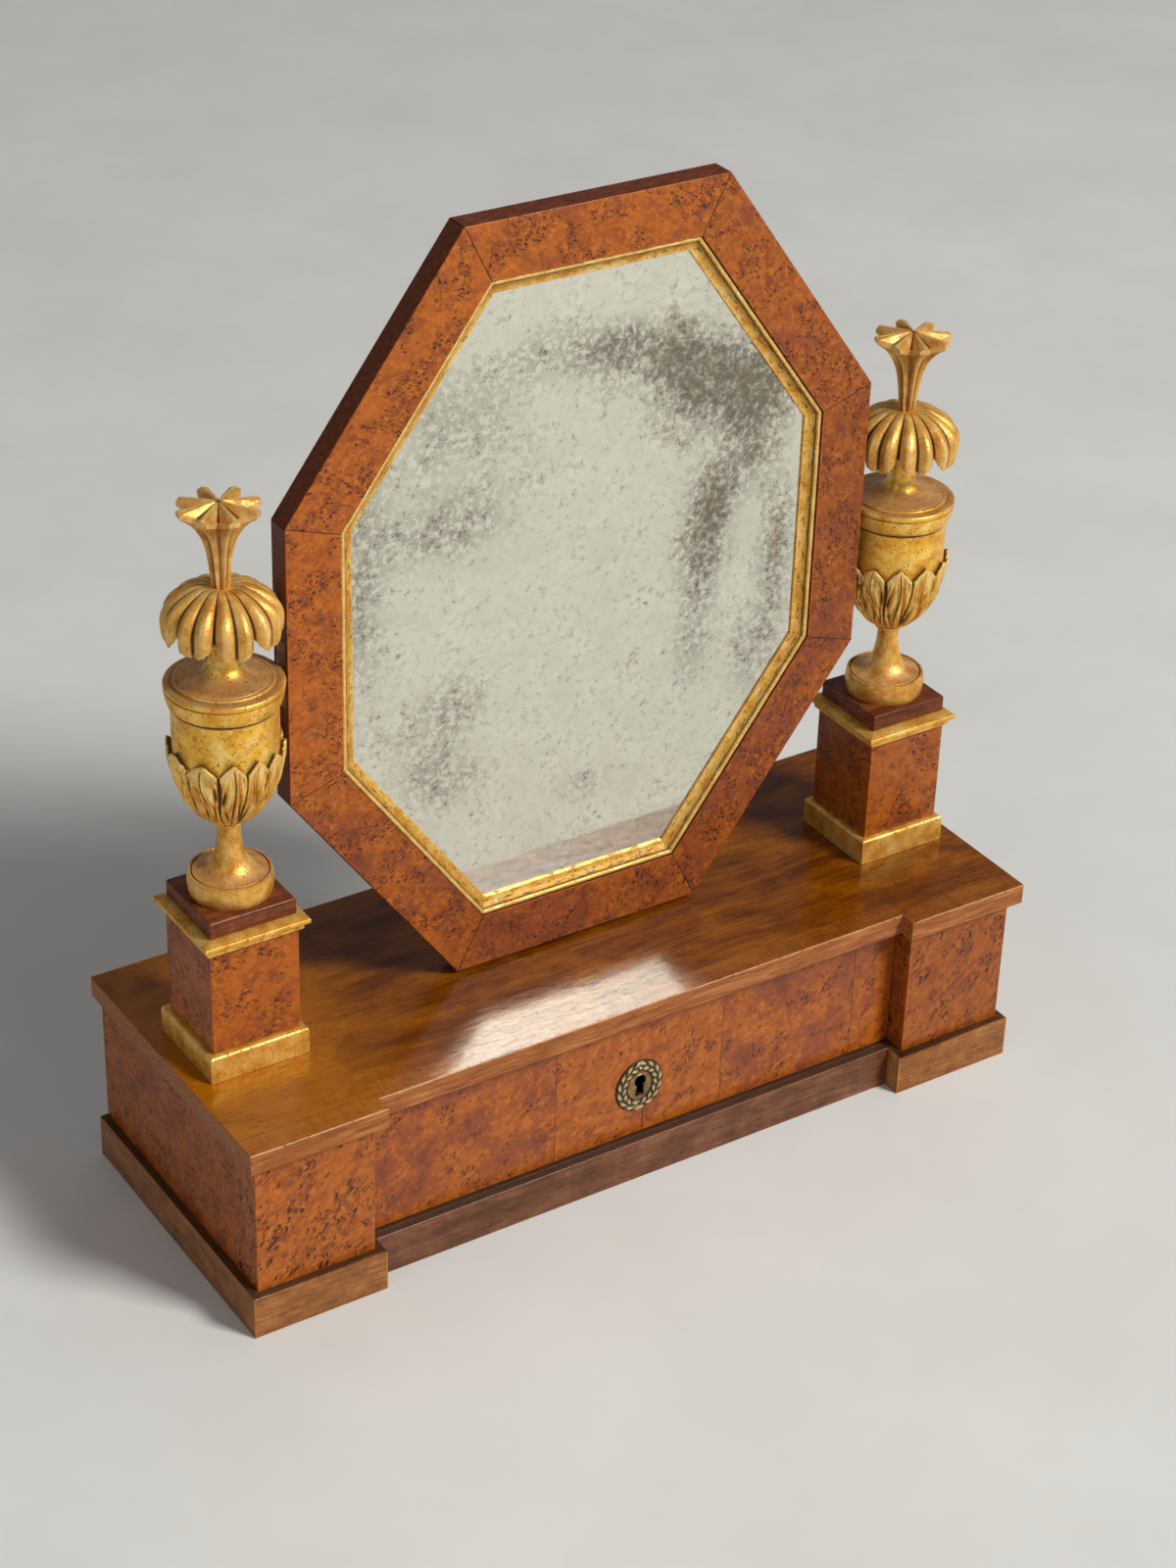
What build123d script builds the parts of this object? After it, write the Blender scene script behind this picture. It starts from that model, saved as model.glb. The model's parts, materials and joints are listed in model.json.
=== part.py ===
"""Table mirror: an octagonal looking glass that swings between two gilt urns over a one-drawer box.

The box is a break-front case with a plinth and a lockable drawer. A square pedestal stands on each
end of its top board, and a carved urn with a leaf crown, a palm canopy and an eight-pointed star
stands on each pedestal. The mirror turns on two brass pins set in the collars of the urns.

X runs along the front, Y from front to back and Z up. The origin is under the middle of the top
board, on the surface that the box stands on. Lengths are in millimetres, angles in degrees.
"""

from build123d import *

import os
from math import atan2, cos, hypot, pi, radians, sin, sqrt

# Top board and the steps of its front
BOARD_WIDTH = 560.0
BOARD_DEPTH = 208.0
BOARD_THICKNESS = 14.0
BREAK_WIDTH = 90.0            # each end of the board that stands forward
BOARD_BREAK = 11.0            # how far those ends stand forward
BOARD_SIDE_OVERHANG = 6.0
BOARD_FRONT_OVERHANG = 7.0
BOARD_BACK_OVERHANG = 1.0

# Case under the board
CASE_HEIGHT = 120.0
FACE_BREAK = 12.5             # end blocks stand this far in front of the rail under the drawer
BLOCK_DEPTH = 26.0
SIDE_THICKNESS = 12.0
BACK_THICKNESS = 10.0
FLOOR_THICKNESS = 10.0
GUIDE_THICKNESS = 9.0
PLINTH_HEIGHT = 29.0
PLINTH_THICKNESS = 5.5
PLINTH_EDGE_ROUNDING = 1.2
STOP_WIDTH = 30.0
STOP_HEIGHT = 14.0
STOP_DEPTH = 8.2              # from the back board to the closed drawer
STOP_SPACING = 240.0

# Drawer
DRAWER_SET_BACK = 3.0         # its face behind the face of the rail under it
FRONT_THICKNESS = 18.0
DRAWER_WALL = 8.0
DRAWER_SIDE_HEIGHT = 78.0
DRAWER_BACK_DROP = 5.0        # the back board is this much lower than the sides
DRAWER_FLOOR_THICKNESS = 5.0
DRAWER_FLOOR_LIFT = 6.0       # from the lower edge of a side to its groove
GROOVE_DEPTH = 4.0
DOVETAIL_LAP = 5.0            # wood left in front of the tails
FRONT_TAILS = 3
BACK_TAILS = 2
TAIL_FLARE = 2.5
RUNNER_GAP = 0.3              # under the drawer, and behind it at its stops
DRAWER_SIDE_GAP = 0.5
DRAWER_TOP_GAP = 0.8
FLOOR_EDGE_GAP = 0.3          # around the drawer's floor panel in its grooves

# Lock and escutcheon
KEYHOLE_DROP = 49.9           # from the drawer front's top edge to the keyhole's round end
KEYHOLE_RADIUS = 4.2
KEYHOLE_LENGTH = 14.8
KEYHOLE_NECK = 4.8
KEYHOLE_FOOT = 5.8
LOCK_WIDTH = 50.0
LOCK_DEPTH = 10.0
LOCK_TAIL = 20.0              # lock case below the keyhole's round end
KEY_PIN_RADIUS = 1.2
KEYWAY_DEPTH = 6.0
BOLT_WIDTH = 18.0
BOLT_THICKNESS = 4.0
BOLT_LENGTH = 34.0
BOLT_THROW = 5.0
BOLT_GAP = 0.3
MORTISE_GAP = 0.8             # round the thrown bolt, in the board
MORTISE_HEADROOM = 2.0
ESCUTCHEON_HALF_WIDTH = 17.4
ESCUTCHEON_HALF_HEIGHT = 18.7
ESCUTCHEON_PLATE = 1.0
WREATH_HEIGHT = 2.2
WREATH_WIDTH = 8.2
WREATH_BEVEL = 0.8
KEYHOLE_RISE = 4.0            # the keyhole's round end above the escutcheon's middle

# Pedestals, square in plan
PEDESTAL_BASE_WIDTH = 64.6
PEDESTAL_BASE_HEIGHT = 17.7
BASE_EDGE_ROUNDING = 2.4
SHAFT_WIDTH = 56.9
SHAFT_HEIGHT = 69.3
CORNICE_WIDTH = 67.8
CORNICE_BAND_WIDTH = 61.9
CORNICE_BAND_HEIGHT = 4.6
CORNICE_LIP_HEIGHT = 2.6
CORNICE_SLOPE_HEIGHT = 2.6
CAP_WIDTH = 55.6
CAP_HEIGHT = 10.6
CAP_EDGE_ROUNDING = 1.6

# Urns, turned about their own upright axes
FOOT_RADIUS = 25.2
FOOT_DISC_HEIGHT = 14.2
FOOT_DRAW_IN = 1.2            # the disc is this much narrower where it stands
FOOT_SWELL_RISE = 8.5         # height at which the disc is widest
FOOT_LIP = 2.4
TURNED_GROOVE = 0.7           # depth of the line cut inside a lip
FOOT_HEIGHT = 45.8
STEM_RADIUS = 6.6
STEM_SWEEP_RADIUS = 9.6       # the stem's radius a third of the way up its sweep
STEM_SWEEP_RISE = 9.0
STEM_RING_HEIGHT = 2.2        # the turned ring between the stem and the leaves
STEM_RING_RADIUS = 9.2
BOWL_RADIUS = 30.5
BOWL_HEIGHT = 78.8
BOWL_START_RADIUS = 6.0
BOWL_SWELL = 50.0             # half height of the upright ellipse that shapes the bowl
LEAVES = 12
LEAF_NOTCH_RISE = 42.4        # from the ring up to the notches between the leaf tips
LEAF_TIP_RISE = 51.6
LEAF_VALLEY = 0.4             # how far the lines between leaves stand off the bowl
LEAF_RELIEF = 1.5             # how far a leaf swells above those lines
LEAF_BASE_RELIEF = 0.7        # of that swell, where the leaves start
LEAF_RIB_GROOVE = 0.45
LEAF_TIP_CURL = 1.6
LEAF_THICKNESS = 1.6
LEAF_ROOT = 1.0               # depth below the bowl's surface at which the leaves are cut off
LEAF_COLUMNS = (-1, -0.62, -0.24, 0, 0.24, 0.62)          # lines up a leaf, from side to side
LEAF_ROWS = (0, 0.12, 0.27, 0.45, 0.63, 0.8, 0.92, 1)     # rings round the leaves, foot to tip
COLLAR_RADIUS = 34.3
COLLAR_HEIGHT = 13.7
COLLAR_DRAW_IN = 2.5
LID_DISC_RADIUS = 29.0        # flat disc on the collar, inside a narrow ledge
LID_DISC_RISE = 1.6
NECK_RADIUS = 8.4
NECK_SWEEP_RADIUS = 12.5
NECK_SWEEP_RISE = 5.0         # above the collar, where the disc has turned into the neck
NECK_RISE = 16.0
LID_HEIGHT = 62.0             # collar, disc and neck together
CANOPY_RADIUS = 34.3
CANOPY_DOME = 22.0            # from the widest ring to the crown
CANOPY_HUB_RADIUS = 5.7
CANOPY_HUB_THICKNESS = 11.5
CANOPY_WALL = 2.4
FRONDS = 8
FROND_NOTCH_ANGLE = 84.0      # where the notches and the tips end, from the crown down
FROND_TIP_ANGLE = 120.0
FROND_TUCK = 2.0              # how far the tips hang inside the widest ring
FROND_GROOVE = 3.0
MIDRIB_GROOVE = 1.8
LOBE_COLUMNS = 4              # lines down each half of a frond
CANOPY_ROWS = (0, 0.16, 0.34, 0.52, 0.7, 0.86, 1)         # rings from the hub to the tips
CANOPY_HOLLOW = 0.72          # share of the fronds' length to which the hollow underneath goes up
STAR_POINTS = 8
STAR_RADIUS = 22.6
STAR_VALLEY_RADIUS = 14.0
STAR_TIP_WIDTH = 6.4
STAR_THICKNESS = 4.4
STAR_VALLEY_DROP = 4.4
STAR_CORNER_DROP = 1.4        # corners of a point's blunt end below its ridge
STAR_CENTRE_RISE = 2.0
TRUMPET_RADIUS = 5.2
TRUMPET_HEIGHT = 43.0
TRUMPET_TAPER = 4.0           # even widening of the stem, before the flare of its mouth
TRUMPET_FLARE = 4.4           # power of the height share by which the mouth flares
TRUMPET_FLUTE = 0.6           # depth of the flutes at the foot of the stem
TRUMPET_ROWS = (0, 0.2, 0.4, 0.55, 0.68, 0.78, 0.86, 0.93, 1)   # rings up the stem
CROWN_TURN = 22.5             # of the right urn's canopy and star, half a frond round
SPIGOT_RADIUS = 3.0
SPIGOT_LENGTH = 7.0
SPIGOT_GAP = 0.05
SPIGOT_END_GAP = 0.5

# Mirror
SWING_GAP = 1.2               # between the frame's upright edges and the urns
MIRROR_HEIGHT = 483.0
MIRROR_SIDE_LENGTH = 176.0    # upright edges
MIRROR_TOP_LENGTH = 174.6     # top and bottom edges
MIRROR_FOOT_GAP = 2.5         # above the top board
FRAME_WIDTH = 35.0
FRAME_THICKNESS = 16.0
FRAME_EDGE_ROUNDING = 0.8
REBATE_WIDTH = 7.0
LIP_THICKNESS = 7.0
SLIP_WIDTH = 9.5
SLIP_SET_BACK = 1.0
SLIP_BEAD = 3.0
SLIP_BEAD_RISE = 1.2
SLIP_STEP = 0.8
SLIP_NOSE = 1.4
GLASS_THICKNESS = 3.5
BACKBOARD_THICKNESS = 4.5
REBATE_GAP = 0.5              # round the glass and the backboard
PIN_RADIUS = 3.0
PIN_GAP = 0.05
PIN_IN_URN = 18.0
PIN_IN_FRAME = 16.0
PIN_END_GAP = 0.5
PLATE_LENGTH = 42.0
PLATE_WIDTH = 10.0
PLATE_THICKNESS = 2.0

# Places that follow from the sizes
BOARD_FRONT = -BOARD_DEPTH / 2
CASE_HALF_WIDTH = BOARD_WIDTH / 2 - BOARD_SIDE_OVERHANG
BLOCK_FRONT = BOARD_FRONT + BOARD_FRONT_OVERHANG
BLOCK_BACK = BLOCK_FRONT + BLOCK_DEPTH
BLOCK_INNER = BOARD_WIDTH / 2 - BREAK_WIDTH + BOARD_SIDE_OVERHANG
FACE = BLOCK_FRONT + FACE_BREAK
CASE_BACK = BOARD_DEPTH / 2 - BOARD_BACK_OVERHANG
BACK_INNER = CASE_BACK - BACK_THICKNESS
SIDE_INNER = CASE_HALF_WIDTH - SIDE_THICKNESS
BOARD_TOP = CASE_HEIGHT + BOARD_THICKNESS

DRAWER_FACE = FACE + DRAWER_SET_BACK
DRAWER_BASE = PLINTH_HEIGHT + RUNNER_GAP
DRAWER_TOP = CASE_HEIGHT - DRAWER_TOP_GAP
DRAWER_HALF_WIDTH = BLOCK_INNER - DRAWER_SIDE_GAP
DRAWER_INNER = DRAWER_HALF_WIDTH - DRAWER_WALL
FRONT_BACK = DRAWER_FACE + FRONT_THICKNESS
DRAWER_BACK = BACK_INNER - STOP_DEPTH - RUNNER_GAP
DRAWER_BACK_INNER = DRAWER_BACK - DRAWER_WALL
DRAWER_FLOOR = DRAWER_BASE + DRAWER_FLOOR_LIFT
DRAWER_FLOOR_TOP = DRAWER_FLOOR + DRAWER_FLOOR_THICKNESS
DRAWER_SIDE_TOP = DRAWER_BASE + DRAWER_SIDE_HEIGHT

KEYHOLE_HEIGHT = DRAWER_TOP - KEYHOLE_DROP
LOCK_FRONT = FRONT_BACK - LOCK_DEPTH
LOCK_BASE = KEYHOLE_HEIGHT - LOCK_TAIL
BOLT_MIDDLE = LOCK_FRONT + LOCK_DEPTH / 2

PEDESTAL_X = BOARD_WIDTH / 2 - BREAK_WIDTH / 2
SHAFT_BASE = BOARD_TOP + PEDESTAL_BASE_HEIGHT
CORNICE_BASE = SHAFT_BASE + SHAFT_HEIGHT
CAP_BASE = CORNICE_BASE + CORNICE_BAND_HEIGHT + CORNICE_LIP_HEIGHT + CORNICE_SLOPE_HEIGHT
URN_BASE = CAP_BASE + CAP_HEIGHT
BOWL_BASE = URN_BASE + FOOT_HEIGHT
LID_BASE = BOWL_BASE + BOWL_HEIGHT
CANOPY_SEAT = LID_BASE + LID_HEIGHT
FINIAL_BASE = CANOPY_SEAT + CANOPY_HUB_THICKNESS

PIVOT_HEIGHT = LID_BASE + COLLAR_HEIGHT / 2
MIRROR_HALF_WIDTH = PEDESTAL_X - COLLAR_RADIUS - SWING_GAP
MIRROR_MIDDLE = BOARD_TOP + MIRROR_FOOT_GAP + MIRROR_HEIGHT / 2
LIP_BACK = FRAME_THICKNESS - LIP_THICKNESS
GLASS_BACK = LIP_BACK - GLASS_THICKNESS

parts = {}


# Shapes used again and again

def block(x, y, z):
    """Box between two limits along each axis."""
    size = [high - low for low, high in (x, y, z)]
    middle = [(low + high) / 2 for low, high in (x, y, z)]
    return Pos(*middle) * Box(*size)


def between(side, inner, outer):
    """Limits along X on the left (-1) or right (1), from the inner and outer distances."""
    return tuple(sorted((side * inner, side * outer)))


def mitred_lengths(profile, corners, closed):
    """Lengths of one moulding along straight runs, each mitred to the next.

    The profile is drawn with x outwards from the run and y upwards. The corners go round
    anticlockwise, so that outwards is to the right of each run.
    """
    count = len(corners)
    runs = [(corners[i], corners[(i + 1) % count]) for i in range(count if closed else count - 1)]
    ways = []
    for a, b in runs:
        length = hypot(b[0] - a[0], b[1] - a[1])
        ways.append(Vector((b[0] - a[0]) / length, (b[1] - a[1]) / length, 0))
    reach = max(abs(v.X) for v in profile.vertices()) * 3
    lengths = []
    for i, (a, b) in enumerate(runs):
        way = ways[i]
        before = ways[i - 1] if closed or i > 0 else way
        after = ways[(i + 1) % len(runs)] if closed or i < len(runs) - 1 else way
        outwards = Vector(way.Y, -way.X, 0)
        start, end = Vector(a[0], a[1], 0), Vector(b[0], b[1], 0)
        section = Plane(origin=start - way * reach, x_dir=outwards, z_dir=way * -1)
        length = (end - start).length + 2 * reach
        bar = extrude(section * profile, amount=length, dir=way)
        bar = split(bar, bisect_by=Plane(origin=start, z_dir=way + before), keep=Keep.TOP)
        bar = split(bar, bisect_by=Plane(origin=end, z_dir=way + after), keep=Keep.BOTTOM)
        lengths.append(bar)
    return lengths


def square_moulding(outline):
    """Solid that is square in plan at every height, from half of its side outline."""
    half = list(outline)
    points = half + [(-x, z) for x, z in reversed(half)]
    face = make_face(Polyline(*points, close=True))
    reach = 2 * max(x for x, _ in half)
    along_y = extrude(Plane.XZ * face, amount=reach, both=True)
    along_x = extrude(Plane.YZ * face, amount=reach, both=True)
    return along_y & along_x


def rounding(x, z, radius, steps=4):
    """Points of a quarter round at an outer top corner, from below to above."""
    turns = [pi / 2 * i / steps for i in range(steps + 1)]
    return [(x - radius + radius * cos(a), z - radius + radius * sin(a)) for a in turns]


def skin(rings, bottom=None, top=None):
    """Closed solid of triangles between rings with equal numbers of points.

    The rings go from the first to the last, each anticlockwise seen from the outside's top. A
    first or last ring is closed to its middle point, and with neither the rings join round.
    """
    count = len(rings[0])
    faces = []
    pairs = list(zip(rings, rings[1:]))
    if bottom is None and top is None:
        pairs.append((rings[-1], rings[0]))
    for low, high in pairs:
        for i in range(count):
            j = (i + 1) % count
            faces.append(Face(Wire.make_polygon([low[i], low[j], high[j]])))
            faces.append(Face(Wire.make_polygon([low[i], high[j], high[i]])))
    for ring, middle in ((rings[0], bottom), (rings[-1], top)):
        if middle is not None:
            for i in range(count):
                j = (i + 1) % count
                faces.append(Face(Wire.make_polygon([ring[i], ring[j], middle])))
    return Solid(Shell(faces))


def polar(radius, angle, z):
    """Point at a distance from the upright axis, in a direction, at a height."""
    return Vector(radius * cos(angle), radius * sin(angle), z)


def spigot(z):
    """Turned peg that goes down from a piece into the piece below."""
    return Pos(0, 0, z - SPIGOT_LENGTH / 2) * Cylinder(SPIGOT_RADIUS, SPIGOT_LENGTH)


def spigot_bore(z):
    """Hole for the peg of the piece that stands at a height."""
    depth = SPIGOT_LENGTH + SPIGOT_END_GAP
    return Pos(0, 0, z - depth / 2) * Cylinder(SPIGOT_RADIUS + SPIGOT_GAP, depth)


# Case: top board, blocks, sides, back, floor and rail

def board_outline():
    """Outline of the top board, with both ends a step forward of the middle."""
    half, inner = BOARD_WIDTH / 2, BOARD_WIDTH / 2 - BREAK_WIDTH
    step, back = BOARD_FRONT + BOARD_BREAK, BOARD_DEPTH / 2
    right = [(half, back), (half, BOARD_FRONT), (inner, BOARD_FRONT), (inner, step)]
    left = [(-x, y) for x, y in reversed(right)]
    return make_face(Polyline(*right, *left, close=True))


board = extrude(Pos(0, 0, CASE_HEIGHT) * board_outline(), amount=BOARD_THICKNESS)
mortise_reach = BOLT_WIDTH / 2 + MORTISE_GAP
mortise_half_depth = BOLT_THICKNESS / 2 + MORTISE_GAP
parts["top_board"] = board - block(
    (-mortise_reach, mortise_reach),
    (BOLT_MIDDLE - mortise_half_depth, BOLT_MIDDLE + mortise_half_depth),
    (CASE_HEIGHT, DRAWER_TOP + BOLT_THROW + MORTISE_HEADROOM),
)

for name, side in (("left", -1), ("right", 1)):
    parts[f"case_{name}_side"] = block(
        between(side, SIDE_INNER, CASE_HALF_WIDTH), (BLOCK_BACK, CASE_BACK), (0, CASE_HEIGHT))
    parts[f"{name}_end_block"] = block(
        between(side, BLOCK_INNER, CASE_HALF_WIDTH), (BLOCK_FRONT, BLOCK_BACK), (0, CASE_HEIGHT))
    parts[f"{name}_drawer_guide"] = block(
        between(side, BLOCK_INNER, BLOCK_INNER + GUIDE_THICKNESS),
        (BLOCK_BACK, BACK_INNER), (PLINTH_HEIGHT, CASE_HEIGHT))

parts["case_back"] = block((-SIDE_INNER, SIDE_INNER), (BACK_INNER, CASE_BACK), (0, CASE_HEIGHT))
parts["case_floor"] = block(
    (-SIDE_INNER, SIDE_INNER), (BLOCK_BACK, BACK_INNER),
    (PLINTH_HEIGHT - FLOOR_THICKNESS, PLINTH_HEIGHT))
parts["front_rail"] = block((-BLOCK_INNER, BLOCK_INNER), (FACE, BLOCK_BACK), (0, PLINTH_HEIGHT))

stop_limits = (BACK_INNER - STOP_DEPTH, BACK_INNER)
parts["drawer_stops"] = Compound(children=[
    block((x - STOP_WIDTH / 2, x + STOP_WIDTH / 2), stop_limits,
          (PLINTH_HEIGHT, PLINTH_HEIGHT + STOP_HEIGHT))
    for x in (-STOP_SPACING / 2, STOP_SPACING / 2)
])


# Plinth: mitred lengths along the foot of the case, open at the back

plinth_profile = make_face(Polyline(
    (0, 0), (PLINTH_THICKNESS, 0),
    *rounding(PLINTH_THICKNESS, PLINTH_HEIGHT, PLINTH_EDGE_ROUNDING),
    (0, PLINTH_HEIGHT), close=True))
plinth_right = [
    (BLOCK_INNER, FACE), (BLOCK_INNER, BLOCK_FRONT),
    (CASE_HALF_WIDTH, BLOCK_FRONT), (CASE_HALF_WIDTH, CASE_BACK)]
plinth_left = [(-x, y) for x, y in reversed(plinth_right)]
left_side, left_front, left_return, centre, right_return, right_front, right_side = mitred_lengths(
    plinth_profile, plinth_left + plinth_right, closed=False)
parts["plinth_left_side"] = left_side
parts["plinth_left_front"] = Compound(children=[left_front, left_return])
parts["plinth_centre"] = centre
parts["plinth_right_front"] = Compound(children=[right_front, right_return])
parts["plinth_right_side"] = right_side


# Drawer: dovetailed box on the case floor, with its lock

def tails(count, root, end, low, high):
    """Dovetails of a drawer's side board, wider at their ends than at their roots."""
    pitch = (high - low) / count
    root_half = pitch / 4
    end_half = root_half + TAIL_FLARE
    made = []
    for i in range(count):
        z = low + (i + 0.5) * pitch
        shape = make_face(Polyline(
            (root, z - root_half), (end, z - end_half),
            (end, z + end_half), (root, z + root_half), close=True))
        made.append(extrude(Plane.YZ * shape, amount=DRAWER_WALL))
    return made


panel_half_width = DRAWER_INNER + GROOVE_DEPTH - FLOOR_EDGE_GAP
panel_front = FRONT_BACK - GROOVE_DEPTH + FLOOR_EDGE_GAP
parts["drawer_floor"] = block(
    (-panel_half_width, panel_half_width), (panel_front, DRAWER_BACK),
    (DRAWER_FLOOR, DRAWER_FLOOR_TOP))
panel_groove = block(
    (-DRAWER_INNER - GROOVE_DEPTH, DRAWER_INNER + GROOVE_DEPTH),
    (FRONT_BACK - GROOVE_DEPTH, DRAWER_BACK + GROOVE_DEPTH), (DRAWER_FLOOR, DRAWER_FLOOR_TOP))

front_tails = tails(
    FRONT_TAILS, FRONT_BACK, DRAWER_FACE + DOVETAIL_LAP, DRAWER_BASE, DRAWER_SIDE_TOP)
back_top = DRAWER_SIDE_TOP - DRAWER_BACK_DROP
back_tails = tails(BACK_TAILS, DRAWER_BACK_INNER, DRAWER_BACK, DRAWER_FLOOR_TOP, back_top)


def keyhole(front, back):
    """Keyhole through everything from one depth to another, round at the top."""
    foot = KEYHOLE_HEIGHT + KEYHOLE_RADIUS - KEYHOLE_LENGTH
    slot = make_face(Polyline(
        (-KEYHOLE_NECK / 2, KEYHOLE_HEIGHT), (KEYHOLE_NECK / 2, KEYHOLE_HEIGHT),
        (KEYHOLE_FOOT / 2, foot), (-KEYHOLE_FOOT / 2, foot), close=True))
    shape = slot + Pos(0, KEYHOLE_HEIGHT) * Circle(KEYHOLE_RADIUS)
    return extrude(Plane.XZ.offset(-back) * shape, amount=back - front)


lock_limits = ((-LOCK_WIDTH / 2, LOCK_WIDTH / 2), (LOCK_FRONT, FRONT_BACK), (LOCK_BASE, DRAWER_TOP))
drawer_front = block((-DRAWER_HALF_WIDTH, DRAWER_HALF_WIDTH), (DRAWER_FACE, FRONT_BACK),
                     (DRAWER_BASE, DRAWER_TOP))
drawer_front -= panel_groove
drawer_front -= block(*lock_limits)
drawer_front -= keyhole(DRAWER_FACE, LOCK_FRONT)
drawer_back = block((-DRAWER_HALF_WIDTH, DRAWER_HALF_WIDTH), (DRAWER_BACK_INNER, DRAWER_BACK),
                    (DRAWER_FLOOR_TOP, back_top))

for name, side in (("left", -1), ("right", 1)):
    inner_face = -DRAWER_HALF_WIDTH if side < 0 else DRAWER_INNER
    side_board = block((inner_face, inner_face + DRAWER_WALL), (FRONT_BACK, DRAWER_BACK_INNER),
                       (DRAWER_BASE, DRAWER_SIDE_TOP))
    for tail in front_tails + back_tails:
        side_board += Pos(inner_face, 0, 0) * tail
    for tail in front_tails:
        drawer_front -= Pos(inner_face, 0, 0) * tail
    for tail in back_tails:
        drawer_back -= Pos(inner_face, 0, 0) * tail
    parts[f"drawer_{name}_side"] = side_board - panel_groove

parts["drawer_front"] = drawer_front
parts["drawer_back"] = drawer_back

# Lock: a case let into the drawer front, whose bolt shoots up into the top board
bolt_low = DRAWER_TOP - BOLT_LENGTH
bolt_way_half_width = BOLT_WIDTH / 2 + BOLT_GAP
bolt_way_half_depth = BOLT_THICKNESS / 2 + BOLT_GAP
bolt_way = block(
    (-bolt_way_half_width, bolt_way_half_width),
    (BOLT_MIDDLE - bolt_way_half_depth, BOLT_MIDDLE + bolt_way_half_depth),
    (bolt_low - BOLT_GAP, DRAWER_TOP))
key_pin = Plane.XZ.offset(-LOCK_FRONT - KEYWAY_DEPTH) * Pos(0, KEYHOLE_HEIGHT) * Circle(KEY_PIN_RADIUS)
lock_case = block(*lock_limits) - bolt_way - keyhole(LOCK_FRONT, LOCK_FRONT + KEYWAY_DEPTH)
parts["lock_case"] = lock_case + extrude(key_pin, amount=KEYWAY_DEPTH)
parts["lock_bolt"] = block(
    (-BOLT_WIDTH / 2, BOLT_WIDTH / 2),
    (BOLT_MIDDLE - BOLT_THICKNESS / 2, BOLT_MIDDLE + BOLT_THICKNESS / 2),
    (bolt_low, DRAWER_TOP))

# Escutcheon: an oval plate with a raised wreath round a plain middle
escutcheon_plane = Plane.XZ.offset(-DRAWER_FACE) * Pos(0, KEYHOLE_HEIGHT - KEYHOLE_RISE)
oval = Ellipse(ESCUTCHEON_HALF_WIDTH, ESCUTCHEON_HALF_HEIGHT)
inner_oval = Ellipse(ESCUTCHEON_HALF_WIDTH - WREATH_WIDTH, ESCUTCHEON_HALF_HEIGHT - WREATH_WIDTH)
wreath = extrude(escutcheon_plane * (oval - inner_oval), amount=WREATH_HEIGHT)
wreath = chamfer(wreath.faces().sort_by(Axis.Y)[0].edges(), WREATH_BEVEL)
plate = extrude(escutcheon_plane * oval, amount=ESCUTCHEON_PLATE)
parts["escutcheon"] = plate + wreath - keyhole(DRAWER_FACE - WREATH_HEIGHT, DRAWER_FACE)


# Pedestals: four square members, one on the other

cornice_lip = CORNICE_BAND_HEIGHT + CORNICE_LIP_HEIGHT
cornice_top = cornice_lip + CORNICE_SLOPE_HEIGHT
pedestal_outlines = {
    "base": (BOARD_TOP, [
        (PEDESTAL_BASE_WIDTH / 2, 0),
        *rounding(PEDESTAL_BASE_WIDTH / 2, PEDESTAL_BASE_HEIGHT, BASE_EDGE_ROUNDING)]),
    "shaft": (SHAFT_BASE, [(SHAFT_WIDTH / 2, 0), (SHAFT_WIDTH / 2, SHAFT_HEIGHT)]),
    "cornice": (CORNICE_BASE, [
        (CORNICE_BAND_WIDTH / 2, 0), (CORNICE_BAND_WIDTH / 2, CORNICE_BAND_HEIGHT),
        (CORNICE_WIDTH / 2, CORNICE_BAND_HEIGHT), (CORNICE_WIDTH / 2, cornice_lip),
        (CAP_WIDTH / 2, cornice_top)]),
    "cap": (CAP_BASE, [
        (CAP_WIDTH / 2, 0), *rounding(CAP_WIDTH / 2, CAP_HEIGHT, CAP_EDGE_ROUNDING)]),
}
pedestal = {
    member: Pos(0, 0, height) * square_moulding(outline)
    for member, (height, outline) in pedestal_outlines.items()
}
pedestal["cap"] -= spigot_bore(URN_BASE)


# Urn: foot and stem, bowl with leaves, lid with collar, palm canopy and star

def turned(outline):
    """Solid turned about the upright axis from a closed outline of radius and height."""
    return revolve(Plane.XZ * make_face(outline), axis=Axis.Z)


def urn_foot():
    """Disc with a lip and a line inside it, sweeping up into the stem."""
    lip_inner = FOOT_RADIUS - FOOT_LIP
    stem_start = (lip_inner - TURNED_GROOVE, FOOT_DISC_HEIGHT)
    sweep = Spline(
        stem_start, (STEM_SWEEP_RADIUS, FOOT_DISC_HEIGHT + STEM_SWEEP_RISE),
        (STEM_RADIUS, FOOT_HEIGHT), tangents=((-1, 0), (0, 1)))
    side = ThreePointArc(
        (FOOT_RADIUS - FOOT_DRAW_IN, 0), (FOOT_RADIUS, FOOT_SWELL_RISE),
        (FOOT_RADIUS - FOOT_DRAW_IN / 2, FOOT_DISC_HEIGHT))
    rim = Polyline(
        (FOOT_RADIUS - FOOT_DRAW_IN / 2, FOOT_DISC_HEIGHT), (lip_inner, FOOT_DISC_HEIGHT),
        (lip_inner, FOOT_DISC_HEIGHT - TURNED_GROOVE), stem_start)
    core = Polyline((STEM_RADIUS, FOOT_HEIGHT), (0, FOOT_HEIGHT), (0, 0),
                    (FOOT_RADIUS - FOOT_DRAW_IN, 0))
    body = Pos(0, 0, URN_BASE) * turned(Curve() + [side, rim, sweep, core])
    return body + spigot(URN_BASE) - spigot_bore(BOWL_BASE)


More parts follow.
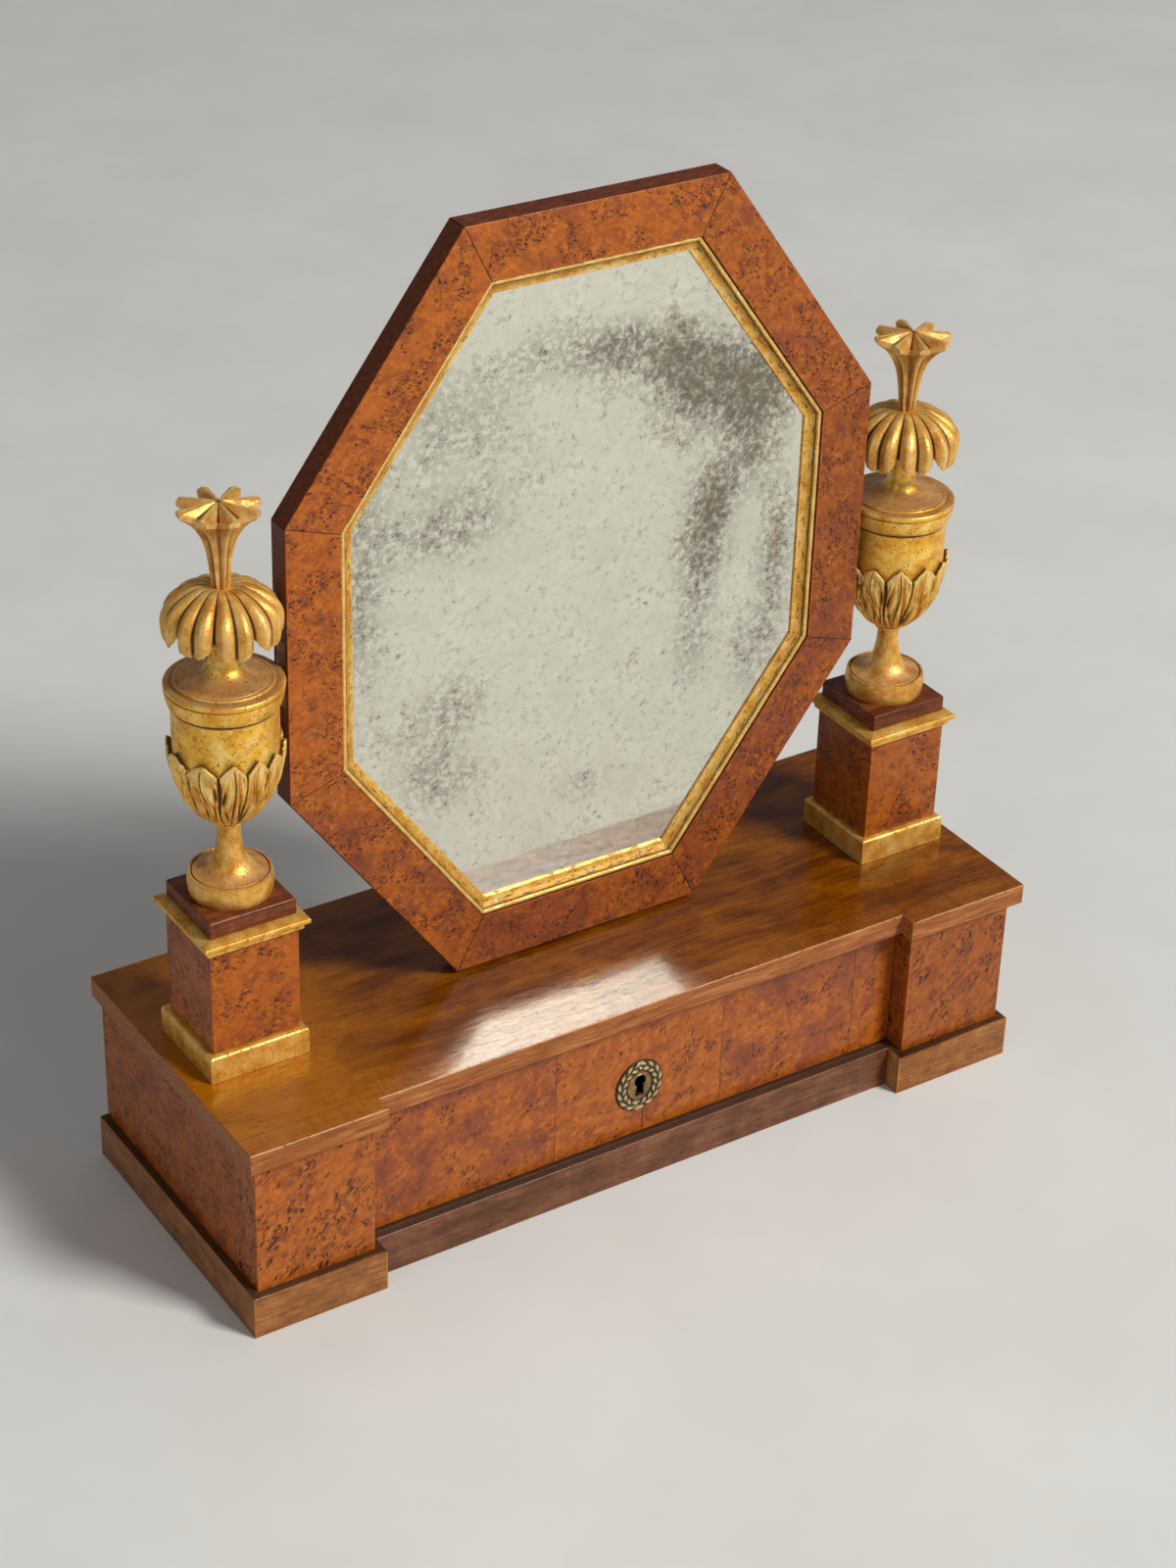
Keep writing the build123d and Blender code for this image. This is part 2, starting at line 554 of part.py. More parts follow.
def bowl_centre():
    """Height of the middle of the bowl's ellipse above the ring, where it is at its widest."""
    return BOWL_SWELL * sqrt(1 - (BOWL_START_RADIUS / BOWL_RADIUS) ** 2)


def bowl_radius(rise):
    """Radius of the bowl at a height above the ring."""
    drop = max(bowl_centre() - rise, 0) / BOWL_SWELL
    return BOWL_RADIUS * sqrt(1 - drop ** 2)


def urn_bowl():
    """Bowl on an elliptical line, with the ring where it leaves the stem."""
    start, steps = -atan2(bowl_centre() / BOWL_SWELL, BOWL_START_RADIUS / BOWL_RADIUS), 8
    turns = [start * (1 - i / steps) for i in range(steps + 1)]
    swell = Spline(*[
        (BOWL_RADIUS * cos(a), STEM_RING_HEIGHT + bowl_centre() + BOWL_SWELL * sin(a))
        for a in turns])
    ring_edge = STEM_RING_RADIUS - STEM_RING_HEIGHT / 2
    ring = ThreePointArc(
        (ring_edge, 0), (STEM_RING_RADIUS, STEM_RING_HEIGHT / 2), (ring_edge, STEM_RING_HEIGHT))
    shoulder = Line(ring @ 1, swell @ 0)
    wall = Polyline(swell @ 1, (BOWL_RADIUS, BOWL_HEIGHT), (0, BOWL_HEIGHT), (0, 0), ring @ 0)
    return Pos(0, 0, BOWL_BASE) * turned(Curve() + [ring, shoulder, swell, wall])


def leaf_calyx():
    """Twelve leaves round the bowl, as one toothed crown that is cut to fit the bowl.

    Across a leaf the relief falls from the middle to a deep line between neighbours, with a
    groove along the midrib. Up a leaf it follows the bowl and curls outwards at the tip.
    """
    pitch = 2 * pi / LEAVES
    turns = [(leaf + place / 2) * pitch for leaf in range(LEAVES) for place in LEAF_COLUMNS]
    places = [abs(place) for _ in range(LEAVES) for place in LEAF_COLUMNS]

    def front(place, share):
        growth = LEAF_BASE_RELIEF + (1 - LEAF_BASE_RELIEF) * sin(pi / 2 * share)
        swell = LEAF_RELIEF * (1 - place ** 2) * growth
        rib = LEAF_RIB_GROOVE if place == 0 else 0
        return LEAF_VALLEY + swell - rib + LEAF_TIP_CURL * share ** 4

    def back(place, share):
        return front(place, share) - LEAF_THICKNESS

    def root(place, share):
        return -LEAF_ROOT

    def ring(share, surface):
        points = []
        for turn, place in zip(turns, places):
            rise = share * (LEAF_TIP_RISE - (LEAF_TIP_RISE - LEAF_NOTCH_RISE) * place)
            points.append(polar(bowl_radius(rise) + surface(place, share), turn, rise))
        return points

    rings = [ring(share, front) for share in LEAF_ROWS]
    rings += [ring(LEAF_ROWS[-1], back), ring(LEAF_ROWS[-3], root), ring(LEAF_ROWS[0], root)]
    return Pos(0, 0, BOWL_BASE + STEM_RING_HEIGHT) * skin(rings) - urn_bowl()


def urn_lid(side):
    """Collar that draws in downwards, a flat disc on it, and the neck that carries the canopy."""
    disc_top = COLLAR_HEIGHT + LID_DISC_RISE
    sweep_start = (LID_DISC_RADIUS - TURNED_GROOVE, disc_top)
    sweep = Spline(
        sweep_start, (NECK_SWEEP_RADIUS, COLLAR_HEIGHT + NECK_SWEEP_RISE),
        (NECK_RADIUS, COLLAR_HEIGHT + NECK_RISE), tangents=((-1, 0), (0, 1)))
    collar = ThreePointArc(
        (COLLAR_RADIUS - COLLAR_DRAW_IN, 0), (COLLAR_RADIUS - COLLAR_DRAW_IN / 4, COLLAR_HEIGHT / 2),
        (COLLAR_RADIUS, COLLAR_HEIGHT - TURNED_GROOVE))
    rim = Polyline(
        collar @ 1, (COLLAR_RADIUS - TURNED_GROOVE, COLLAR_HEIGHT), (LID_DISC_RADIUS, COLLAR_HEIGHT),
        (LID_DISC_RADIUS, disc_top - TURNED_GROOVE), sweep_start)
    core = Polyline(sweep @ 1, (NECK_RADIUS, LID_HEIGHT), (0, LID_HEIGHT), (0, 0), collar @ 0)
    body = Pos(0, 0, LID_BASE) * turned(Curve() + [collar, rim, sweep, core])
    body = body + spigot(LID_BASE) - spigot_bore(CANOPY_SEAT)
    return body - urn_pin_bore(side)


def urn_pin_bore(side):
    """Bore for the pivot pin in the collar, on the side of an urn that faces the mirror."""
    depth = PIN_IN_URN + PIN_END_GAP
    x = -side * (COLLAR_RADIUS - depth / 2)
    return Pos(x, 0, PIVOT_HEIGHT) * Rot(0, 90, 0) * Cylinder(PIN_RADIUS + PIN_GAP, depth)


def palm_canopy():
    """Eight drooping fronds of two lobes each, notched between fronds and open underneath.

    The crown is a dome of rings that hangs nearly straight down below its widest ring. Each
    frond's middle hangs lowest, and round the dome every lobe swells as a half circle between two
    grooves, the deeper one between fronds.
    """
    frond_columns = 2 * LOBE_COLUMNS
    columns = FRONDS * frond_columns
    turns = [2 * pi * column / columns + pi / FRONDS for column in range(columns)]
    hub_angle = atan2(CANOPY_HUB_RADIUS, CANOPY_RADIUS)
    middle = FINIAL_BASE - CANOPY_DOME * cos(hub_angle)

    def edge_angle(column):
        across = abs((column / frond_columns) % 1 - 0.5) * 2
        return radians(FROND_TIP_ANGLE + (FROND_NOTCH_ANGLE - FROND_TIP_ANGLE) * across)

    def groove(column):
        across = (column / LOBE_COLUMNS) % 1
        bulge = sqrt(1 - (2 * across - 1) ** 2)
        between_fronds = column % frond_columns in (0, 1, frond_columns - 1)
        return (FROND_GROOVE if between_fronds else MIDRIB_GROOVE) * (1 - bulge)

    def reach(angle):
        """Radius of the dome down to its widest ring, and of the hanging fronds below that."""
        hang = max(angle - pi / 2, 0) / (radians(FROND_TIP_ANGLE) - pi / 2)
        return CANOPY_RADIUS * sin(min(angle, pi / 2)) - FROND_TUCK * hang ** 2

    def ring(share, inwards=0.0, upwards=0.0):
        points = []
        for column, turn in enumerate(turns):
            angle = hub_angle + share * (edge_angle(column) - hub_angle)
            radius = reach(angle) - groove(column) * sin(angle) - inwards
            z = middle + CANOPY_DOME * cos(angle) + upwards
            points.append(polar(radius, turn, z))
        return points

    outer = [ring(share) for share in CANOPY_ROWS]
    seat = [polar(NECK_RADIUS, turn, CANOPY_SEAT) for turn in turns]
    inner = [ring(1, CANOPY_WALL), ring(CANOPY_HOLLOW, 2 * CANOPY_WALL, -CANOPY_WALL), seat]
    body = skin(outer + inner, bottom=Vector(0, 0, FINIAL_BASE), top=Vector(0, 0, CANOPY_SEAT))
    return body + spigot(CANOPY_SEAT) - spigot_bore(FINIAL_BASE)


def star_finial():
    """Fluted trumpet stem that flares into a star of eight blunt points.

    Each ring has four points for a star's point: its ridge between both corners of its blunt end,
    and the valley beside it. The flare of the ridges ends at the tips and that of the flutes at
    the valleys.
    """
    pitch = 2 * pi / STAR_POINTS
    tip_half = atan2(STAR_TIP_WIDTH / 2, STAR_RADIUS)

    def flared(share, foot, mouth):
        return foot + TRUMPET_TAPER * share + (mouth - foot - TRUMPET_TAPER) * share ** TRUMPET_FLARE

    def ring(ridge, valley, z, valley_z, corner_z):
        points = []
        for point in range(STAR_POINTS):
            turn = point * pitch
            points.append(polar(ridge, turn - tip_half, corner_z))
            points.append(polar(ridge, turn, z))
            points.append(polar(ridge, turn + tip_half, corner_z))
            points.append(polar(valley, turn + pitch / 2, valley_z))
        return points

    rings = []
    for share in TRUMPET_ROWS:
        z = FINIAL_BASE + share * TRUMPET_HEIGHT
        ridge = flared(share, TRUMPET_RADIUS, STAR_RADIUS)
        valley = flared(share, TRUMPET_RADIUS - TRUMPET_FLUTE, STAR_VALLEY_RADIUS)
        rings.append(ring(ridge, valley, z, z - STAR_VALLEY_DROP * share ** TRUMPET_FLARE, z))
    top = FINIAL_BASE + TRUMPET_HEIGHT + STAR_THICKNESS
    rings.append(ring(
        STAR_RADIUS, STAR_VALLEY_RADIUS, top, top - STAR_VALLEY_DROP, top - STAR_CORNER_DROP))
    body = skin(rings, bottom=Vector(0, 0, FINIAL_BASE), top=Vector(0, 0, top + STAR_CENTRE_RISE))
    return body + spigot(FINIAL_BASE)


pegged_bowl = urn_bowl() + spigot(BOWL_BASE) - spigot_bore(LID_BASE)
foot, calyx, canopy, finial = urn_foot(), leaf_calyx(), palm_canopy(), star_finial()
for name, side, crown_turn in (("left", -1, 0), ("right", 1, CROWN_TURN)):
    place = Pos(side * PEDESTAL_X, 0, 0)
    for member, solid in pedestal.items():
        parts[f"{name}_pedestal_{member}"] = place * solid
    parts[f"{name}_urn_foot"] = place * foot
    parts[f"{name}_urn_bowl"] = place * pegged_bowl
    parts[f"{name}_leaf_calyx"] = place * calyx
    parts[f"{name}_urn_lid"] = place * urn_lid(side)
    parts[f"{name}_palm_canopy"] = place * Rot(0, 0, crown_turn) * canopy
    parts[f"{name}_star_finial"] = place * Rot(0, 0, crown_turn) * finial

    inner_end = MIRROR_HALF_WIDTH - PIN_IN_FRAME
    outer_end = PEDESTAL_X - COLLAR_RADIUS + PIN_IN_URN
    pin = Rot(0, 90, 0) * Cylinder(PIN_RADIUS, outer_end - inner_end)
    parts[f"{name}_pivot_pin"] = Pos(side * (inner_end + outer_end) / 2, 0, PIVOT_HEIGHT) * pin


# Mirror: built lying face up on the plan of its octagon, then stood upright

def octagon(inset):
    """Corners of the frame's octagon moved in by a distance, anticlockwise from lower right."""
    half_width, half_height = MIRROR_HALF_WIDTH, MIRROR_HEIGHT / 2
    side_half, top_half = MIRROR_SIDE_LENGTH / 2, MIRROR_TOP_LENGTH / 2
    run, rise = half_width - top_half, half_height - side_half
    slant = hypot(run, rise)
    line = (rise * top_half + run * half_height) / slant - inset
    x, y = half_width - inset, half_height - inset
    corner_y = (line * slant - rise * x) / run
    corner_x = (line * slant - run * y) / rise
    upper = [(x, corner_y), (corner_x, y), (-corner_x, y), (-x, corner_y)]
    return [(x, -corner_y), *upper, (-x, -corner_y), (-corner_x, -y), (corner_x, -y)]


def upright(piece):
    """Stand a piece of the lying mirror up between the urns, its face to the front."""
    return Pos(0, FRAME_THICKNESS / 2, MIRROR_MIDDLE) * Rot(90, 0, 0) * piece


def pane(inset, back, thickness):
    """Flat eight-sided sheet at a height above the mirror's back."""
    outline = make_face(Polyline(*octagon(inset), close=True))
    return extrude(Pos(0, 0, back) * outline, amount=thickness)


frame_profile = make_face(Polyline(
    (0, 0), *rounding(0, FRAME_THICKNESS, FRAME_EDGE_ROUNDING), (-FRAME_WIDTH, FRAME_THICKNESS),
    (-FRAME_WIDTH, LIP_BACK), (-FRAME_WIDTH + REBATE_WIDTH, LIP_BACK),
    (-FRAME_WIDTH + REBATE_WIDTH, 0), close=True))
frame_names = ("right", "upper_right", "top", "upper_left", "left", "lower_left", "bottom",
               "lower_right")
frame_lengths = dict(zip(frame_names, mitred_lengths(frame_profile, octagon(0), closed=True)))

slip_top = FRAME_THICKNESS - SLIP_SET_BACK
slip_bead_end = slip_top - SLIP_BEAD_RISE
slip_inner = -FRAME_WIDTH - SLIP_WIDTH
slip_nose_top = LIP_BACK + SLIP_NOSE
slip_profile = make_face(Curve() + [
    Line((-FRAME_WIDTH, LIP_BACK), (-FRAME_WIDTH, slip_bead_end)),
    ThreePointArc((-FRAME_WIDTH, slip_bead_end), (-FRAME_WIDTH - SLIP_BEAD / 2, slip_top),
                  (-FRAME_WIDTH - SLIP_BEAD, slip_bead_end)),
    Polyline((-FRAME_WIDTH - SLIP_BEAD, slip_bead_end),
             (-FRAME_WIDTH - SLIP_BEAD, slip_bead_end - SLIP_STEP)),
    ThreePointArc((-FRAME_WIDTH - SLIP_BEAD, slip_bead_end - SLIP_STEP),
                  ((slip_inner - FRAME_WIDTH - SLIP_BEAD) / 2 - SLIP_STEP, slip_nose_top + SLIP_STEP),
                  (slip_inner + SLIP_STEP, slip_nose_top)),
    Polyline((slip_inner + SLIP_STEP, slip_nose_top), (slip_inner, slip_nose_top),
             (slip_inner, LIP_BACK), (-FRAME_WIDTH, LIP_BACK)),
])
slip_lengths = mitred_lengths(slip_profile, octagon(0), closed=True)

# Brass plates in the frame's upright edges, and the bores of the pins through them
pivot_y = PIVOT_HEIGHT - MIRROR_MIDDLE
for name, side in (("left", -1), ("right", 1)):
    edge = side * MIRROR_HALF_WIDTH
    seat = block(
        between(side, MIRROR_HALF_WIDTH - PLATE_THICKNESS, MIRROR_HALF_WIDTH),
        (pivot_y - PLATE_LENGTH / 2, pivot_y + PLATE_LENGTH / 2),
        ((FRAME_THICKNESS - PLATE_WIDTH) / 2, (FRAME_THICKNESS + PLATE_WIDTH) / 2))
    depth = PIN_IN_FRAME + PIN_END_GAP
    bore = Pos(edge - side * depth / 2, pivot_y, FRAME_THICKNESS / 2) * Rot(0, 90, 0) * Cylinder(
        PIN_RADIUS + PIN_GAP, depth)
    frame_lengths[name] = frame_lengths[name] - seat - bore
    parts[f"{name}_pivot_plate"] = upright(seat - bore)

for name, length in frame_lengths.items():
    parts[f"frame_{name}"] = upright(length)
parts["gilt_slip"] = Compound(children=[upright(length) for length in slip_lengths])
parts["mirror_glass"] = upright(pane(FRAME_WIDTH - REBATE_WIDTH + REBATE_GAP, GLASS_BACK, GLASS_THICKNESS))
parts["backboard"] = upright(pane(
    FRAME_WIDTH - REBATE_WIDTH + REBATE_GAP, GLASS_BACK - BACKBOARD_THICKNESS, BACKBOARD_THICKNESS))

os.makedirs("parts", exist_ok=True)
for name, part in parts.items():
    export_step(part, f"parts/{name}.step")
print(len(parts), "parts")
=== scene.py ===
# %% [markdown]
# # Table mirror
# An octagonal looking glass swings between two gilt urns, over a box with one drawer. The
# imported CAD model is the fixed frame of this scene: it says where every piece is, in metres.
# This script gives each piece its looks, and carves again those that need more than a solid.

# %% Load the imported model
import json
import math

import bmesh
import bpy
import numpy as np
from mathutils import Matrix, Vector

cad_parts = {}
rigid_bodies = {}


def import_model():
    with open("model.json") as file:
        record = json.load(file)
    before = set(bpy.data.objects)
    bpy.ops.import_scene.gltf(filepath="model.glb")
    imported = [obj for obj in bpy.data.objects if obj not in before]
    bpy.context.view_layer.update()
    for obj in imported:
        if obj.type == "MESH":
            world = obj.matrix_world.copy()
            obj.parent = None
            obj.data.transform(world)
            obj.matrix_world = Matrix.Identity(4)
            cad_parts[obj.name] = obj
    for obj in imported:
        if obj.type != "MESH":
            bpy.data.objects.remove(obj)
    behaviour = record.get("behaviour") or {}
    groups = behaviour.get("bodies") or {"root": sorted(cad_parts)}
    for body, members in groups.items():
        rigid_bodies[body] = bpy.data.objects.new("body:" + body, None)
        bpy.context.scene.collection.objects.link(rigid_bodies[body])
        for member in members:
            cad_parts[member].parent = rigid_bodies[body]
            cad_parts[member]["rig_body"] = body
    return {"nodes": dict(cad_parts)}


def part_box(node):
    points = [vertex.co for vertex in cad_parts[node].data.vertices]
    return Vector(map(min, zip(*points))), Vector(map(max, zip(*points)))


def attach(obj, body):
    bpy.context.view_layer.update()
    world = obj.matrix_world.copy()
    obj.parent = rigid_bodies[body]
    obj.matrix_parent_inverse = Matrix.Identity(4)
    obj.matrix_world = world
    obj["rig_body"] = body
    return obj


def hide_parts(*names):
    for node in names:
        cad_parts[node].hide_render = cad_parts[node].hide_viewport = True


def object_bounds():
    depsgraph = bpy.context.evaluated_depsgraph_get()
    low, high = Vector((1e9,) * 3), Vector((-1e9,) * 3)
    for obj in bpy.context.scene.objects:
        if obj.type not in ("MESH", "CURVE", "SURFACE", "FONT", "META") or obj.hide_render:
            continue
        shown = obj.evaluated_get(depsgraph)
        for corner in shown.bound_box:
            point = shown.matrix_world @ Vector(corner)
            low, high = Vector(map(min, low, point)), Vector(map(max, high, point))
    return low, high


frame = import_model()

cad_low, cad_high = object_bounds()
MM = 0.001
print("nodes", len(frame["nodes"]), "size in mm", [round(v / MM, 1) for v in cad_high - cad_low])

# %% [markdown]
# ## Wires
# Shader maths is easier to read as sums than as boxes. A Wire holds one output socket, and
# Python's own operators on it add the Math nodes. A colour never goes through them, because
# a Math node would turn it grey.

# %% A wire between shader nodes


def feed(tree, socket, value):
    """Links a wire to a socket, or sets the socket to a plain value."""
    if isinstance(value, Wire):
        tree.links.new(value.socket, socket)
    else:
        socket.default_value = value


class Wire:
    """One value in a material. An operator adds the Math node of that name."""

    def __init__(self, tree, socket):
        self.tree, self.socket = tree, socket

    def math(self, operation, first, second):
        node = self.tree.nodes.new("ShaderNodeMath")
        node.operation = operation
        feed(self.tree, node.inputs[0], first)
        feed(self.tree, node.inputs[1], second)
        return Wire(self.tree, node.outputs[0])

    def __add__(self, other):
        return self.math("ADD", self, other)

    def __sub__(self, other):
        return self.math("SUBTRACT", self, other)

    def __rsub__(self, other):
        return self.math("SUBTRACT", other, self)

    def __mul__(self, other):
        return self.math("MULTIPLY", self, other)

    def least(self, other):
        return self.math("MINIMUM", self, other)

    def most(self, other):
        return self.math("MAXIMUM", self, other)

    def size(self):
        return self.math("ABSOLUTE", self, 0.0)

    __radd__ = __add__
    __rmul__ = __mul__


# %% A finish, which is one material

CENTIMETRES = (100, 100, 100)     # in a metre, so that noise scales are per centimetre


class Finish:
    """A material in the making: node() adds any node, and the others name the usual ones.
    Its colour so far is kept in colour, and over() lays the next one over it."""

    def __init__(self, name):
        self.material = bpy.data.materials.new(name)
        self.material.use_nodes = True
        self.tree = self.material.node_tree
        self.shader = self.tree.nodes["Principled BSDF"]

    def node(self, kind, settings, values, out=0):
        """Any node: its settings first, then its sockets' values or links. Gives one output."""
        node = self.tree.nodes.new(kind)
        for key, value in settings.items():
            if key == "stops":
                elements = node.color_ramp.elements
                while len(elements) < len(value):
                    elements.new(1.0)
                for element, (place, colour) in zip(elements, value):
                    element.position, element.color = place, paint(*colour)
            else:
                setattr(node, key, value)
        for key, value in values.items():
            feed(self.tree, node.inputs[key], value)
        return Wire(self.tree, node.outputs[out])

    def place(self, shift=(0, 0, 0), turn=0.0):
        """Where the point is on the piece, in centimetres, after a shift and a turn about Y."""
        at = self.node("ShaderNodeTexCoord", {}, {}, "Object")
        return self.node("ShaderNodeMapping", {}, {
            "Vector": at, "Location": shift, "Rotation": (0, turn, 0), "Scale": CENTIMETRES})

    def facing(self):
        """The way the surface faces on the piece itself, as three values."""
        return self.split(self.node("ShaderNodeTexCoord", {}, {}, "Normal"))

    def mark(self, name):
        """A number that the piece carries at its points."""
        return self.node("ShaderNodeAttribute", {"attribute_name": name}, {}, "Fac")

    def split(self, vector):
        first = self.node("ShaderNodeSeparateXYZ", {}, {0: vector})
        return [Wire(self.tree, output) for output in first.socket.node.outputs]

    def join(self, *values):
        return self.node("ShaderNodeCombineXYZ", {}, dict(enumerate(values)))

    def vector(self, operation, *values, out=0):
        return self.node("ShaderNodeVectorMath", {"operation": operation}, dict(enumerate(values)), out)

    def stretch(self, at, *by):
        return self.vector("MULTIPLY", at, by)

    def noise(self, at, scale, detail=3.0, roughness=0.5, distortion=0.0, out="Fac"):
        return self.node("ShaderNodeTexNoise", {}, {
            "Vector": at, "Scale": scale, "Detail": detail, "Roughness": roughness,
            "Distortion": distortion}, out)

    def push(self, at, amount, scale, detail=2.0, roughness=0.5, by=None):
        """Moves points by a coloured noise at them, or at others. Its middle grey moves nothing."""
        field = self.noise(by or at, scale, detail, roughness, out="Color")
        centred = self.vector("SUBTRACT", field, (0.5, 0.5, 0.5))
        return self.vector("MULTIPLY_ADD", centred, (amount, amount, amount), at)

    def cells(self, at, scale, out="Distance"):
        return self.node("ShaderNodeTexVoronoi", {}, {"Vector": at, "Scale": scale}, out)

    def band(self, value, low, high):
        """0 at one limit, 1 at the other, whichever is higher, and smooth between them."""
        return self.node("ShaderNodeMapRange", {"interpolation_type": "SMOOTHSTEP"}, {
            "Value": value, "From Min": low, "From Max": high, "To Min": 0.0, "To Max": 1.0})

    def ramp(self, value, *stops):
        """Colours at places from 0 to 1, blended between them."""
        return self.node("ShaderNodeValToRGB", {"stops": stops}, {"Fac": value})

    def mix(self, first, second, share):
        """The first colour with a share of the second over it. Each is a wire or screen values."""
        first, second = [v if isinstance(v, Wire) else paint(*v) for v in (first, second)]
        return self.node("ShaderNodeMix", {"data_type": "RGBA"}, {0: share, 6: first, 7: second}, 2)

    def over(self, colour, share):
        self.colour = self.mix(self.colour, colour, share)

    def bump(self, height, distance):
        return self.node("ShaderNodeBump", {}, {"Height": height, "Distance": distance, "Strength": 1.0})

    def edge(self, low, high):
        """Distance in centimetres to the nearest edge of a box: the middle one of three distances."""
        at = self.split(self.place())
        x, y, z = [(c - a * 100).least(b * 100 - c).size() for c, a, b in zip(at, low, high)]
        return x.least(y).most(x.most(y).least(z))

    def done(self, relief=0.0, depth=0.0, specular=0.5, **values):
        """The material, with its colour, a relief that is depth metres high, and other values."""
        if depth:
            values["normal"] = self.bump(relief, depth)
        for key, value in {"base_color": self.colour, "specular_ior_level": specular, **values}.items():
            socket = self.shader.inputs[key.replace("_", " ").title().replace("Ior", "IOR")]
            feed(self.tree, socket, value)
        return self.material


# %% [markdown]
# ## Colours
# A colour picked by eye is in screen values. Blender's sockets want linear light, so this
# turns one into the other. The colours below are what each finish has in plain light.

# %% From screen values to light


def paint(red, green, blue, light=1.0):
    """Screen values of 0 to 255 as linear light: a power of 2.4 with a straight foot. A fourth
    number makes it lighter or darker."""
    share = np.array((red, green, blue)) / 255
    linear = np.where(share < 0.04, share / 12.92, ((share + 0.055) / 1.055) ** 2.4) * light
    return (*linear.tolist(), 1.0)


# %% [markdown]
# ## Burl veneer
# The case, the drawer front, the shafts of the pedestals and the mirror's frame are veneered
# with a reddish burl: curly grain full of dark eyes, with purplish clouds a few centimetres
# wide. The grain is one field of noise, pushed about by a wider one so that it swirls. Eyes
# are small commas in the middles of Voronoi cells, kept only where a third noise gathers
# them in groups.

# %% Burl veneer


def commas(f, at, scale, size, channel, low, high):
    """Dark commas: discs round cells' middles, less the same discs moved a little aside. One
    channel of the cells' own colours picks the cells that have one."""
    beside = f.vector("ADD", at, (0.15 / scale, -0.07 / scale, 0.13 / scale))
    disc = f.band(f.cells(at, scale), size, size * 0.75)
    comma = disc * f.band(f.cells(beside, scale), size * 0.55, size * 0.9)
    return comma * f.band(f.split(f.cells(at, scale, "Color"))[channel], low, high)


